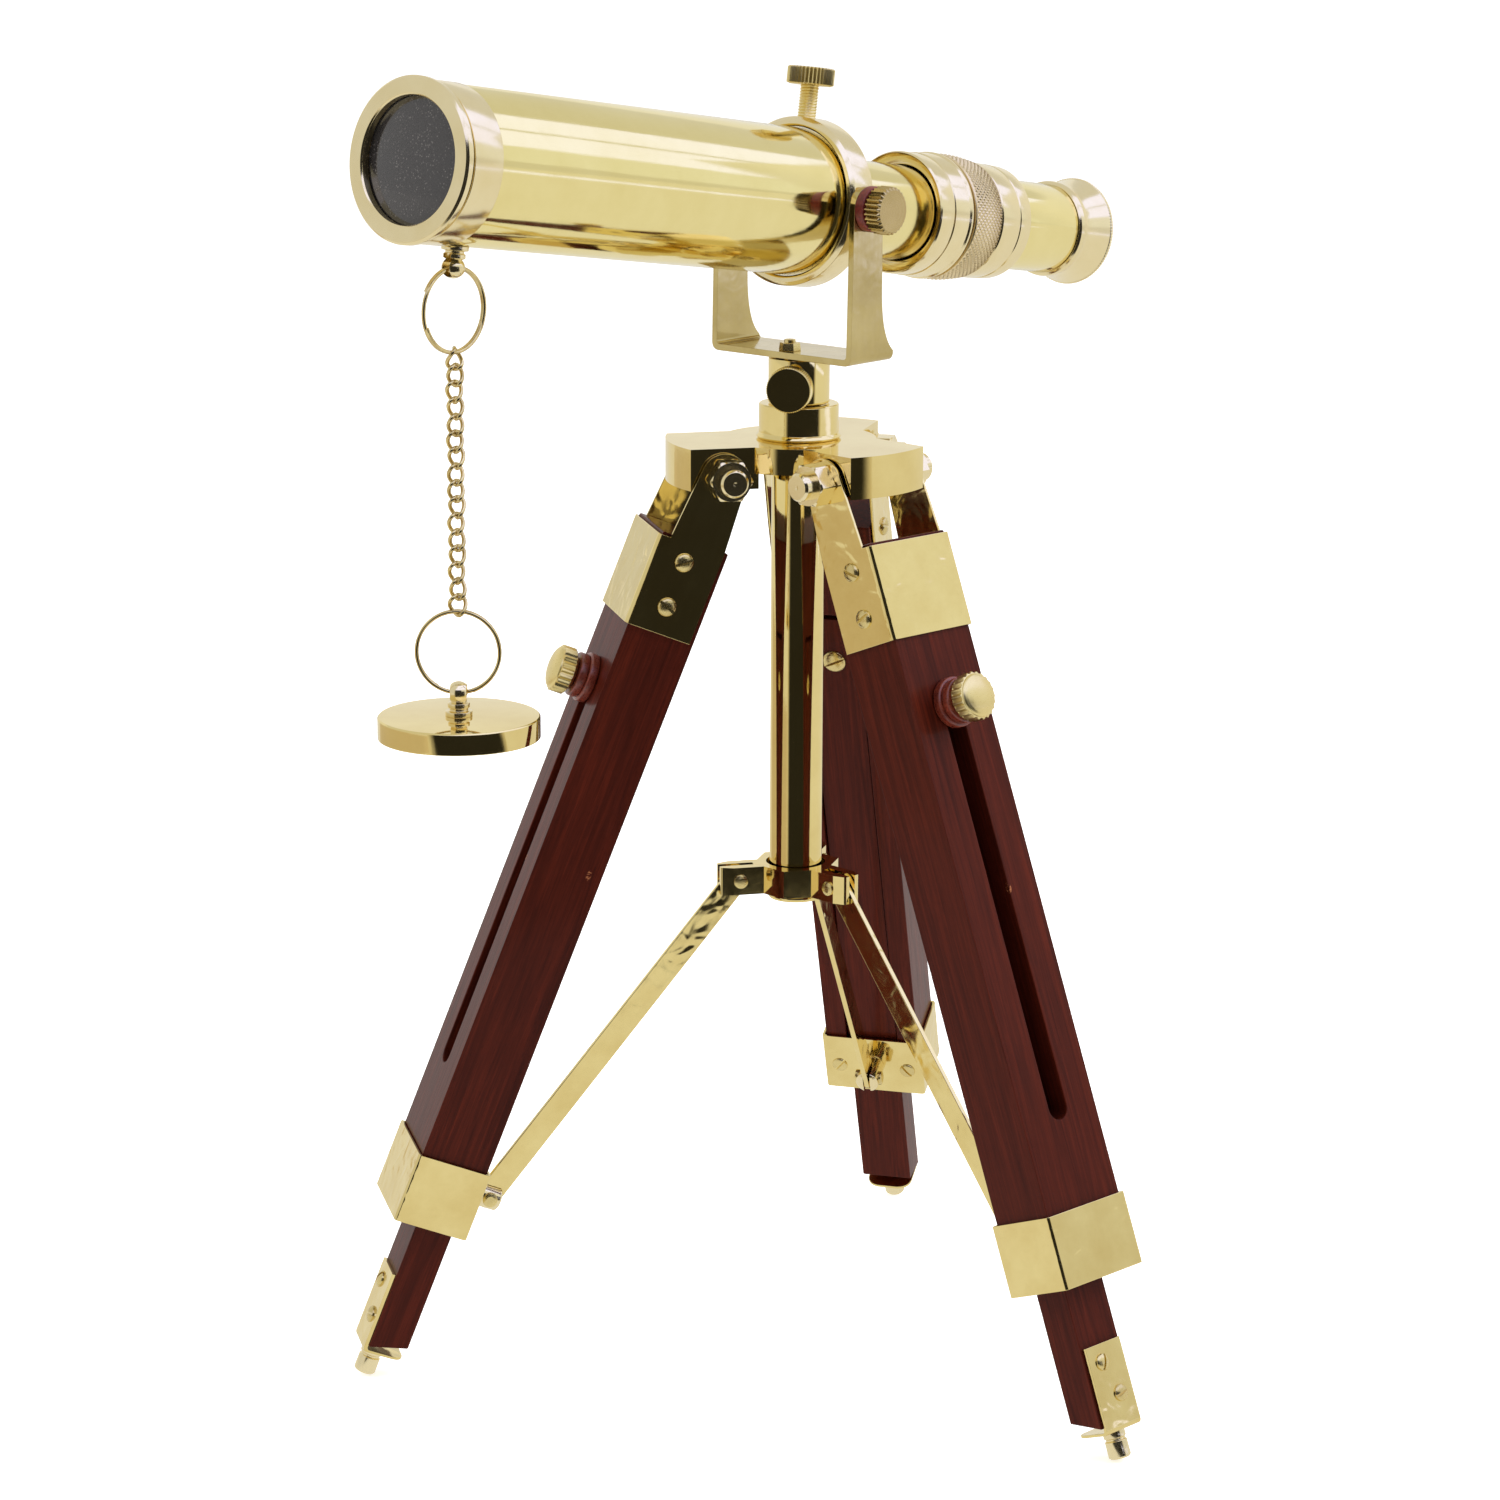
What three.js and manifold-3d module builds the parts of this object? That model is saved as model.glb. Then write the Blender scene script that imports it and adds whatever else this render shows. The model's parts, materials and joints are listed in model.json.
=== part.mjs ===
// A brass telescope on a folding wooden tripod, in millimetres, +Z up.
// The origin is at the middle of the part's footprint, at the level that its feet stand on.
import * as THREE from "three";
import { mergeVertices } from "three/addons/utils/BufferGeometryUtils.js";
import Module from "manifold-3d";

const wasm = await Module();
wasm.setup();

// ---------------------------------------------------------------- driving dimensions
const GAP = 0.3; // clearance between pieces that touch or run in each other
const SHEET = 0.8; // brass sheet of the brackets and ferrules
const FINE = 32; // sides of the large round pieces
const ROUND = 24; // sides of the column, lenses and split rings
const MEDIUM = 16; // sides of the knobs and sleeves
const COARSE = 8; // sides of screws and pins

const LEG_AZIMUTHS = { front: -90, back: 30, side: 150 }; // degrees round the column
const LEG_SPLAY = 21.7; // degrees from the vertical
const HINGE_RADIUS = 24.3; // from the column's axis to each leg's hinge
const HINGE_HEIGHT = 256.4; // above the tips of the pegs' axes

const PLATE_TOP = 264.5;
const COLUMN_BOTTOM = 132.4;
const COLUMN_RADIUS = 7.45;
const SPINDLE_RADIUS = 6;
const BORE_RADIUS = COLUMN_RADIUS + GAP;

const PIVOT_HEIGHT = 329.6;
const PIVOT_OFFSET = -1; // the pivot's place in front of the column's axis, along the head
const HEAD_AZIMUTH = 4.8; // degrees from +X to the eyepiece
const TUBE_TILT = 8.5; // degrees that the objective is raised

const TUBE_RADIUS = 20;
const TUBE_FRONT = -137.2;
const TUBE_REAR = 6.5;
const RING_RADIUS = 23;
const DRAW_RADIUS = 13.3;

const STRAP = 1.8; // thickness of the yoke
const YOKE_HALF = 25.1; // to the outer face of each arm
const YOKE_BASE = 287.3; // underside
const ARM_RADIUS = 6.1;

const WIRE = 0.6; // radius of the split rings' wire
const LOOP = 10.65; // radius of a split ring's centre line
const CHAIN_REACH = 66.5; // between the two rings' wires
const STUD_STATION = -131; // along the tube from the pivot
const STUD_DROP = 25.3; // from the tube's axis to the middle of the stud's ball
const BALL = 3;
const BALL_RINGS = 8; // bands of faces from pole to pole
const CAP_RADIUS = 20.97;
const CAP_DEPTH = 5.7;
const CAP_BELOW_BALL = 6;
const RING_LEAN = 46; // the most that the tube tilts past the ring that hangs from it, in degrees

const PIN_RADIUS = 1.3;
const ARM_THICKNESS = 1.5;
const ARM_HALF_WIDTH = 3.5;
const FORK_SLOT = ARM_THICKNESS + 2 * GAP;
const COLLAR_LOW = 134.7;
const COLLAR_HIGH = 142.7;
const COLLAR_PIN = { radius: 17, height: (COLLAR_LOW + COLLAR_HIGH) / 2 };

// Leg frame: x outwards across the leg, y sideways, z up along it, from the hinge's axis.
const WOOD_HALF = 14.6;
const WOOD_INNER = -8.6;
const WOOD_OUTER = 11.1;
const WOOD_TOP = 19.5;
const WOOD_END = 226;
const CHANNEL_TOP = 50;
const FACE_INNER = WOOD_OUTER + GAP;
const FACE_OUTER = FACE_INNER + SHEET;
const SIDE_INNER = WOOD_HALF + GAP;
const SIDE_OUTER = SIDE_INNER + SHEET;
const BRACKET_TOP = 20.3;
const BRACKET_END = 46.5;
const FERRULE_TOP = 206.5;
const FERRULE_END = 226.6;
const SLIDER_HALF = 7.75;
const SLIDER_INNER = -7.6;
const SLIDER_OUTER = 3.4;
const SLIDER_TOP = 52;
const SLIDER_END = 266.5;
const CLAMP_STATION = 66.5;
const CLAMP_TRAVEL = 114;
const LUG_PIN = { across: -15.5, along: 216.5 };

// ---------------------------------------------------------------- materials
const brass = new THREE.MeshStandardMaterial({ color: "#cdb568", roughness: 0.18, metalness: 1 });
const wood = new THREE.MeshStandardMaterial({ color: "#5a1c10", roughness: 0.4, metalness: 0 });
const glass = new THREE.MeshStandardMaterial({ color: "#3a3a3c", roughness: 0.1, metalness: 0 });
const fibre = new THREE.MeshStandardMaterial({ color: "#5c1d12", roughness: 0.6, metalness: 0 });

// ---------------------------------------------------------------- solids
// A closed geometry as a solid, whichever way round its profile was drawn.
function solid(geometry) {
  const bare = geometry.clone();
  bare.deleteAttribute("normal");
  bare.deleteAttribute("uv");
  const merged = mergeVertices(bare, 1e-4);
  const triVerts = new Uint32Array(merged.index.array);
  const vertProperties = merged.attributes.position.array;
  const made = new wasm.Manifold(new wasm.Mesh({ numProp: 3, vertProperties, triVerts }));
  if (made.volume() > 0) return made;
  return new wasm.Manifold(new wasm.Mesh({ numProp: 3, vertProperties, triVerts: triVerts.reverse() }));
}

function join(...solids) {
  return solids.reduce((sum, one) => sum.add(one));
}

function cut(body, ...tools) {
  return tools.reduce((left, tool) => left.subtract(tool), body);
}

// A solid as a named mesh.
function piece(name, body, material) {
  const { vertProperties, triVerts } = body.getMesh();
  const geometry = new THREE.BufferGeometry();
  geometry.setAttribute("position", new THREE.BufferAttribute(new Float32Array(vertProperties), 3));
  geometry.setIndex(new THREE.BufferAttribute(new Uint32Array(triVerts), 1));
  const mesh = new THREE.Mesh(geometry, material);
  mesh.name = name;
  return mesh;
}

// Turned about an axis: the profile lists [station along the axis, radius].
function turned(axis, sides, profile) {
  const points = profile.map(([station, radius]) => new THREE.Vector2(radius, station));
  const geometry = new THREE.LatheGeometry(points, sides);
  if (axis === "x") geometry.rotateZ(-Math.PI / 2);
  if (axis === "z") geometry.rotateX(Math.PI / 2);
  return solid(geometry);
}

// A rod or disc between two stations of an axis.
function rod(axis, sides, radius, low, high) {
  return turned(axis, sides, [[low, 0], [low, radius], [high, radius], [high, 0]]);
}

// A tube or ring, whose profile closes on itself.
function sleeve(axis, sides, inner, outer, low, high) {
  return turned(axis, sides, [[low, inner], [low, outer], [high, outer], [high, inner], [low, inner]]);
}

function box(xLow, xHigh, yLow, yHigh, zLow, zHigh) {
  const geometry = new THREE.BoxGeometry(xHigh - xLow, yHigh - yLow, zHigh - zLow);
  geometry.translate((xLow + xHigh) / 2, (yLow + yHigh) / 2, (zLow + zHigh) / 2);
  return solid(geometry);
}

// An outline drawn in X and Z, given its thickness along Y.
function slab(outline, yLow, yHigh, curveSegments = 8) {
  const settings = { depth: yHigh - yLow, bevelEnabled: false, curveSegments };
  const geometry = new THREE.ExtrudeGeometry(outline, settings);
  geometry.rotateX(Math.PI / 2);
  geometry.translate(0, yHigh, 0);
  return solid(geometry);
}

// An outline drawn in Y and Z, given its thickness along X.
function wall(outline, xLow, xHigh, curveSegments = 8) {
  const settings = { depth: xHigh - xLow, bevelEnabled: false, curveSegments };
  const geometry = new THREE.ExtrudeGeometry(outline, settings);
  geometry.rotateX(Math.PI / 2);
  geometry.rotateZ(Math.PI / 2);
  geometry.translate(xLow, 0, 0);
  return solid(geometry);
}

function turnedAbout(body, degreesZ) {
  return body.rotate([0, 0, degreesZ]);
}

function at(body, x, y, z) {
  return body.translate([x, y, z]);
}

// A group turned by `azimuth` about Z after `tilt` about Y.
function frame(azimuth, tilt, x, y, z) {
  const group = new THREE.Group();
  group.rotation.order = "ZYX";
  group.rotation.z = THREE.MathUtils.degToRad(azimuth);
  group.rotation.y = THREE.MathUtils.degToRad(tilt);
  group.position.set(x, y, z);
  return group;
}

// ---------------------------------------------------------------- tripod head
function hubPlate() {
  const lobeUnderside = 253;
  const webUnderside = 257.3;
  const webRadius = 21.5;
  const discRadius = 37;
  const lobeHalf = 14.2;
  const boltHole = 2.6;
  const disc = rod("z", FINE, discRadius, lobeUnderside, PLATE_TOP);
  const lobes = Object.values(LEG_AZIMUTHS).map((azimuth) => {
    const tongue = box(14, discRadius + 1, -lobeHalf, lobeHalf, lobeUnderside, PLATE_TOP);
    const hole = at(rod("y", COARSE, boltHole, -lobeHalf - 1, lobeHalf + 1), HINGE_RADIUS, 0, HINGE_HEIGHT);
    return turnedAbout(cut(tongue, hole), azimuth).intersect(disc);
  });
  const web = rod("z", FINE, webRadius, webUnderside, PLATE_TOP);
  const bore = rod("z", MEDIUM, BORE_RADIUS, lobeUnderside - 1, PLATE_TOP + 1);
  return piece("hub_plate", cut(join(web, ...lobes), bore), brass);
}

function socket() {
  const foot = PLATE_TOP + GAP;
  const beadTop = foot + 1.4;
  const top = 274.2;
  const profile = [
    [foot, BORE_RADIUS], [foot, 11.7], [beadTop, 11.7], [beadTop + 0.4, 11.1],
    [top, 11.1], [top, BORE_RADIUS], [foot, BORE_RADIUS],
  ];
  return piece("socket", turned("z", ROUND, profile), brass);
}

// A tube with a closed top that carries the spindle, and a rolled lip at its lower end.
function centreColumn() {
  const lipHeight = 1.6;
  const lipRadius = 7.9;
  const boreRadius = 6.2;
  const boreTop = 258;
  const shoulder = 274.1;
  const spindleTop = 284.3;
  const profile = [
    [boreTop, 0], [boreTop, boreRadius], [COLUMN_BOTTOM, boreRadius], [COLUMN_BOTTOM, lipRadius],
    [COLUMN_BOTTOM + lipHeight, lipRadius], [COLUMN_BOTTOM + lipHeight, COLUMN_RADIUS],
    [shoulder, COLUMN_RADIUS], [shoulder, SPINDLE_RADIUS], [spindleTop, SPINDLE_RADIUS], [spindleTop, 0],
  ];
  return piece("centre_column", turned("z", ROUND, profile), brass);
}

// ---------------------------------------------------------------- yoke
const AZIMUTH_SCREW = { height: 280, direction: -145 - HEAD_AZIMUTH }; // direction within the head
const PIVOT_HOLE = 2.3; // radius of the holes that the pivot screws and the azimuth screw pass through
const BASE_SCREW = { place: -4, hole: 2 }; // along the head from the column's axis

function yoke() {
  const front = -8.1;
  const rear = 10.2;
  const bend = 2.5;
  const armTop = PIVOT_HEIGHT + ARM_RADIUS;
  const inner = YOKE_HALF - STRAP;
  const strapTop = YOKE_BASE + STRAP;

  const across = new THREE.Shape();
  across.moveTo(-YOKE_HALF, armTop);
  across.lineTo(-YOKE_HALF, YOKE_BASE + bend);
  across.absarc(-YOKE_HALF + bend, YOKE_BASE + bend, bend, Math.PI, 1.5 * Math.PI);
  across.absarc(YOKE_HALF - bend, YOKE_BASE + bend, bend, 1.5 * Math.PI, 2 * Math.PI);
  across.lineTo(YOKE_HALF, armTop);
  across.lineTo(inner, armTop);
  across.lineTo(inner, strapTop);
  across.lineTo(-inner, strapTop);
  across.lineTo(-inner, armTop);

  const along = new THREE.Shape();
  along.moveTo(front, YOKE_BASE - 1);
  along.lineTo(rear, YOKE_BASE - 1);
  along.lineTo(rear, strapTop + 1);
  along.quadraticCurveTo(PIVOT_OFFSET + ARM_RADIUS, strapTop + 5, PIVOT_OFFSET + ARM_RADIUS, strapTop + 18);
  along.lineTo(PIVOT_OFFSET + ARM_RADIUS, PIVOT_HEIGHT);
  along.absarc(PIVOT_OFFSET, PIVOT_HEIGHT, ARM_RADIUS, 0, Math.PI);

  const strap = wall(across, front, rear, 4).intersect(slab(along, -YOKE_HALF - 1, YOKE_HALF + 1));
  const pivotRod = rod("y", COARSE, PIVOT_HOLE, -YOKE_HALF - 1, YOKE_HALF + 1);
  const pivotHoles = at(pivotRod, PIVOT_OFFSET, 0, PIVOT_HEIGHT);
  const screwRod = rod("z", COARSE, BASE_SCREW.hole, YOKE_BASE - 1, strapTop + 1);
  const screwHole = at(screwRod, BASE_SCREW.place, 0, 0);
  return piece("yoke", cut(strap, pivotHoles, screwHole), brass);
}

function yokeSleeve() {
  const low = 274.5;
  const high = YOKE_BASE - 0.1;
  const boreTop = 284.7;
  const bore = SPINDLE_RADIUS + GAP;
  const radius = 8.5;
  const profile = [[boreTop, 0], [boreTop, bore], [low, bore], [low, radius], [high, radius], [high, 0]];
  const radial = at(rod("x", COARSE, PIVOT_HOLE, 0, radius + 1), 0, 0, AZIMUTH_SCREW.height);
  const screwRod = rod("z", COARSE, BASE_SCREW.hole, boreTop - 1, high + 1);
  const screwHole = at(screwRod, BASE_SCREW.place, 0, 0);
  const body = cut(turned("z", MEDIUM, profile), turnedAbout(radial, AZIMUTH_SCREW.direction), screwHole);
  return piece("yoke_sleeve", body, brass);
}

function yokeScrew() {
  const tip = 285.2;
  const shank = 1.7;
  const underHead = YOKE_BASE + STRAP + 0.1;
  const profile = [
    [tip, 0], [tip, shank], [underHead, shank], [underHead, 3], [underHead + 1.2, 2.7], [underHead + 2, 0],
  ];
  return piece("yoke_screw", at(turned("z", COARSE, profile), BASE_SCREW.place, 0, 0), brass);
}

// A thumbscrew: a shank and a wide head, along +X from the shank's tip.
function thumbscrew(name, tip, underHead, end, shankRadius, headRadius) {
  const chamfer = 0.5;
  const profile = [
    [tip, 0], [tip, shankRadius], [underHead, shankRadius], [underHead, headRadius - chamfer],
    [underHead + chamfer, headRadius], [end - chamfer, headRadius], [end, headRadius - chamfer], [end, 0],
  ];
  return piece(name, turned("x", MEDIUM, profile), brass);
}

function azimuthScrew() {
  const screw = thumbscrew("azimuth_screw", SPINDLE_RADIUS + GAP, 12, 17, 2, 6.3);
  screw.rotation.z = THREE.MathUtils.degToRad(AZIMUTH_SCREW.direction);
  screw.position.z = AZIMUTH_SCREW.height;
  return screw;
}

// One side's washer and knob; `side` is +1 or -1 along Y.
function pivotHardware(name, side) {
  const washerLow = YOKE_HALF + GAP;
  const washerHigh = 28;
  const washerRadius = 6.2;
  const knobEnd = 33.5;
  const knobRadius = 6.5;
  const group = frame(side * 90, 0, PIVOT_OFFSET, 0, PIVOT_HEIGHT);
  const washer = sleeve("x", MEDIUM, PIVOT_HOLE, washerRadius, washerLow, washerHigh);
  group.add(piece("pivot_washer_" + name, washer, fibre));
  group.add(thumbscrew("pivot_knob_" + name, TUBE_RADIUS + 1, washerHigh + GAP, knobEnd, 2, knobRadius));
  return group;
}

// ---------------------------------------------------------------- telescope, along X from its pivot
function clampRing() {
  const half = 4.5;
  const bevel = 1;
  const inner = TUBE_RADIUS + GAP;
  const profile = [
    [-half, inner], [-half, RING_RADIUS - bevel], [-half + bevel, RING_RADIUS], [half, RING_RADIUS],
    [half, inner], [-half, inner],
  ];
  const trunnions = rod("y", COARSE, PIVOT_HOLE, -RING_RADIUS - 1, RING_RADIUS + 1);
  const screwHole = rod("z", MEDIUM, 3, 0, RING_RADIUS + 1);
  return piece("clamp_ring", cut(turned("x", FINE, profile), trunnions, screwHole), brass);
}

function clampScrew() {
  const screw = thumbscrew("clamp_screw", TUBE_RADIUS + 0.6, 31.7, 36.5, 2.7, 6.5);
  screw.rotation.y = -Math.PI / 2;
  return screw;
}

function objectiveBezel() {
  const front = -150.5;
  const flange = -148.1;
  const rear = -147.5;
  const mouth = 16.06;
  const rim = 20.85;
  const profile = [
    [flange, mouth], [front + 0.3, mouth], [front, mouth + 0.3], [front, rim - 0.6], [front + 0.6, rim],
    [-148.3, rim], [-148.3, rim - 1], [rear, rim - 1], [rear, 18], [flange, 18], [flange, mouth],
  ];
  return piece("objective_bezel", turned("x", FINE, profile), brass);
}

function objectiveLens() {
  const edge = 17.4;
  const front = -147.6;
  const back = -145.4;
  const bulge = 1.6;
  const profile = [
    [front - bulge, 0], [front - bulge * 0.75, edge / 2], [front, edge * 0.91], [front, edge],
    [back, edge], [back, edge * 0.91], [back + bulge * 0.75, edge / 2], [back + bulge, 0],
  ];
  return piece("objective_lens", turned("x", ROUND, profile), glass);
}

function objectiveCell() {
  const seat = -145;
  const profile = [
    [-147.2, 17.7], [-147.2, 20.3], [TUBE_FRONT - GAP, 20.3], [TUBE_FRONT - GAP, 18.5], [-129, 18.5],
    [-129, 16.2], [seat, 16.2], [seat, 17.7], [-147.2, 17.7],
  ];
  return piece("objective_cell", turned("x", FINE, profile), brass);
}

function mainTube() {
  return piece("main_tube", sleeve("x", FINE, 18.8, TUBE_RADIUS, TUBE_FRONT, TUBE_REAR), brass);
}

function rearBush() {
  const bore = DRAW_RADIUS + GAP;
  const flange = TUBE_REAR + GAP;
  const profile = [
    [-10, bore], [-10, 18.5], [flange, 18.5], [flange, 19.6], [flange + 1.4, 19.6], [flange + 1.4, bore],
    [-10, bore],
  ];
  return piece("rear_bush", turned("x", FINE, profile), brass);
}

// A stepped collar and a slotted ball under the tube, drawn along Z from the tube's axis.
// The slot is open to every lean of the ring, because the ring hangs plumb however the tube tilts.
function capStud() {
  const root = -TUBE_RADIUS - GAP;
  const neckEnd = root - 2.4;
  const foot = turned("z", MEDIUM, [
    [root, 0], [root, 2.6], [root - 1, 2.6], [root - 1.4, 1.5], [neckEnd, 1.5], [neckEnd, 0],
  ]);
  const ball = solid(new THREE.SphereGeometry(BALL, MEDIUM, BALL_RINGS));
  const slotHalf = WIRE + GAP;
  const slots = [0, -RING_LEAN, RING_LEAN].map((lean) => {
    const slot = box(-2 * BALL, 2 * BALL, -slotHalf, slotHalf, -2 * BALL, slotHalf);
    return slot.rotate([0, lean, 0]);
  });
  const eye = at(cut(ball, ...slots), 0, 0, -STUD_DROP);
  return piece("cap_stud", at(join(foot, eye), STUD_STATION, 0, 0), brass);
}

function drawTube() {
  return piece("draw_tube", sleeve("x", ROUND, 12.3, DRAW_RADIUS, -45, 46), brass);
}

// Two small lenses in a sleeve at the inner end of the draw tube, as one solid with its sleeve.
function erectorCell() {
  const profile = [[-42.5, 0], [-44, 7], [-44, 12], [-20, 12], [-20, 7], [-21.5, 0]];
  return piece("erector_cell", turned("x", ROUND, profile), glass);
}

function drawCollar() {
  const sleeveEnd = 71.2;
  const bore = DRAW_RADIUS + GAP;
  const profile = [
    [41.9, 14], [41.9, 17], [43.4, 17.2], [48.2, 17.2], [48.6, 17.9], [55.9, 18], [55.9, 14.8],
    [sleeveEnd, 14.8], [sleeveEnd, 13.5], [46.5, 13.5], [46.5, bore], [41.9, bore], [41.9, 14],
  ];
  return piece("draw_collar", turned("x", FINE, profile), brass);
}

function focusRing() {
  const bore = 14.8 + GAP;
  const profile = [
    [57.5, bore], [57.5, 17.4], [58.1, 18], [70, 17.6], [70.9, 17], [70.9, bore], [57.5, bore],
  ];
  return piece("focus_ring", turned("x", FINE, profile), brass);
}

function endRing() {
  const profile = [
    [71.5, 13.3], [71.5, 16.4], [79.6, 16.4], [79.6, 16], [80.4, 16], [80.4, 16.4], [85.8, 16.4],
    [85.8, 13.3], [71.5, 13.3],
  ];
  return piece("end_ring", turned("x", FINE, profile), brass);
}

function eyepieceTube() {
  return piece("eyepiece_tube", sleeve("x", ROUND, 11.9, 12.9, 62, 112.7), brass);
}

function eyeCup() {
  const profile = [
    [113, 5], [113, 13.8], [115, 13.9], [119, 14.1], [123, 14.9], [126.7, 15.6], [126.7, 14],
    [121, 12.4], [115.5, 5], [113, 5],
  ];
  return piece("eye_cup", turned("x", ROUND, profile), brass);
}

// A plain lens that bulges on both faces, in the eyepiece tube.
function smallLens(name, station) {
  const edge = 11.5;
  const profile = [
    [station - 2.6, 0], [station - 1.2, edge], [station + 1.2, edge], [station + 2.6, 0],
  ];
  return piece(name, turned("x", MEDIUM, profile), glass);
}

// ---------------------------------------------------------------- lens cap on its chain, hanging along -Z
function splitRing(name, azimuth) {
  const ring = piece(name, solid(new THREE.TorusGeometry(LOOP, WIRE, 6, ROUND)), brass);
  const group = frame(azimuth, 0, 0, 0, 0);
  ring.rotation.x = Math.PI / 2;
  group.add(ring);
  return group;
}

// The chain's outer shape, with a waist between each link and the next.
function capChain(top) {
  const links = 16;
  const high = top - WIRE - GAP;
  const pitch = (CHAIN_REACH - 2 * (WIRE + GAP)) / links;
  const profile = [[high, 0]];
  for (let link = 0; link < links; link += 1) {
    const start = high - link * pitch;
    profile.push([start, 1.2], [start - pitch / 2, 1.9]);
  }
  const low = high - links * pitch;
  profile.push([low, 1.2], [low, 0]);
  return piece("cap_chain", turned("z", 6, profile), brass);
}

// The cap: a shallow cup that opens downwards, with a pierced ball on a stepped collar.
function lensCap(ballHeight, holeAzimuth) {
  const top = ballHeight - CAP_BELOW_BALL;
  const wallThickness = 0.9;
  const profile = [
    [top - 1.2, 0], [top - 1.2, CAP_RADIUS - wallThickness], [top - CAP_DEPTH, CAP_RADIUS - wallThickness],
    [top - CAP_DEPTH, CAP_RADIUS], [top - 0.6, CAP_RADIUS], [top, CAP_RADIUS - 0.6], [top, 3.1],
    [top + 1.2, 3.1], [top + 1.6, 1.9], [top + 3.6, 1.9], [top + 3.6, 0],
  ];
  const eyeRadius = 1.8;
  const ball = at(solid(new THREE.SphereGeometry(BALL, MEDIUM, BALL_RINGS)), 0, 0, ballHeight);
  const hole = turnedAbout(rod("x", COARSE, eyeRadius, -BALL - 1, BALL + 1), holeAzimuth);
  const body = cut(join(turned("z", FINE, profile), ball), at(hole, 0, 0, ballHeight));
  return piece("lens_cap", body, brass);
}

// ---------------------------------------------------------------- legs, in the leg frame
const SMALL_HEAD = 2.4; // radius of the wood screws' heads at the lower end of a leg

function screwHeads(axis, radius, low, high, places) {
  return places.map(([x, y, z]) => at(rod(axis, COARSE, radius, low, high), x, y, z));
}

function upperLeg(name) {
  const log = box(WOOD_INNER, WOOD_OUTER, -WOOD_HALF, WOOD_HALF, -WOOD_END, -WOOD_TOP);
  const channelHalf = SLIDER_HALF + GAP;
  const channel = box(
    WOOD_INNER - 1, SLIDER_OUTER + GAP, -channelHalf, channelHalf, -WOOD_END - 1, -CHANNEL_TOP,
  );
  const slotHalf = 3.4;
  const slotTop = -CLAMP_STATION + 2 + GAP;
  const slotEnd = -CLAMP_STATION - CLAMP_TRAVEL - 2 - GAP;
  const slot = box(0, WOOD_OUTER + 1, -slotHalf, slotHalf, slotEnd, slotTop);
  return piece("upper_leg_" + name, cut(log, channel, slot), wood);
}

function topBracket(name) {
  const crown = 6.6;
  const crownOffset = 0.7;
  const innerEdge = -7.2;
  const outline = new THREE.Shape();
  outline.moveTo(innerEdge, -BRACKET_END);
  outline.lineTo(FACE_OUTER, -BRACKET_END);
  outline.lineTo(FACE_OUTER, -BRACKET_TOP);
  outline.lineTo(8.6, -BRACKET_TOP);
  outline.absarc(crownOffset, 0, crown, 0, Math.PI);
  outline.lineTo(innerEdge, -BRACKET_TOP);
  const left = slab(outline, SIDE_INNER, SIDE_OUTER);
  const right = slab(outline, -SIDE_OUTER, -SIDE_INNER);
  const plate = box(FACE_INNER, FACE_OUTER, -SIDE_OUTER, SIDE_OUTER, -BRACKET_END, -BRACKET_TOP);
  const boltHole = rod("y", COARSE, 2.6, -SIDE_OUTER - 1, SIDE_OUTER + 1);
  const headRadius = 2.65;
  const headHeight = 0.9;
  const places = [[2.8, 0, -25.6], [2.8, 0, -38.65]];
  const heads = [
    ...screwHeads("y", headRadius, SIDE_OUTER - 0.1, SIDE_OUTER + headHeight, places),
    ...screwHeads("y", headRadius, -SIDE_OUTER - headHeight, -SIDE_OUTER + 0.1, places),
  ];
  return piece("top_bracket_" + name, cut(join(left, right, plate, ...heads), boltHole), brass);
}

function hingeBolt(name) {
  const nutLow = SIDE_OUTER + GAP;
  const nutHigh = nutLow + 4.5;
  const reach = 25;
  const shank = rod("y", COARSE, 2.3, -nutHigh, nutHigh);
  const ends = [1, -1].flatMap((side) => [
    rod("y", 6, 5.9, side > 0 ? nutLow : -nutHigh, side > 0 ? nutHigh : -nutLow),
    rod("y", MEDIUM, 3.9, side > 0 ? nutHigh - 0.1 : -reach, side > 0 ? reach : 0.1 - nutHigh),
  ]);
  return piece("hinge_bolt_" + name, join(shank, ...ends), brass);
}

function ferrule(name) {
  const inside = WOOD_INNER - GAP;
  const outside = inside - SHEET;
  const shell = cut(
    box(outside, FACE_OUTER, -SIDE_OUTER, SIDE_OUTER, -FERRULE_END, -FERRULE_TOP),
    box(inside, FACE_INNER, -SIDE_INNER, SIDE_INNER, -FERRULE_END - 1, -FERRULE_TOP + 1),
  );
  const lugTip = -19;
  const lugPlace = [0, 0, -LUG_PIN.along];
  const lug = at(rod("x", MEDIUM, 3.5, lugTip, outside + 0.1), ...lugPlace);
  const pins = rod("y", COARSE, 2.1, -4.35, 4.35);
  const fork = box(lugTip - 2, outside - 0.1, -FORK_SLOT / 2, FORK_SLOT / 2, -5, 5);
  const places = [[0, 10.8, -217.5], [0, -10.8, -217.5]];
  const heads = screwHeads("x", SMALL_HEAD, outside - 0.8, outside + 0.1, places);
  const lugWithPins = cut(
    join(lug, at(pins, LUG_PIN.across, 0, -LUG_PIN.along)),
    at(fork, ...lugPlace),
  );
  return piece("ferrule_" + name, join(shell, lugWithPins, ...heads), brass);
}

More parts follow.
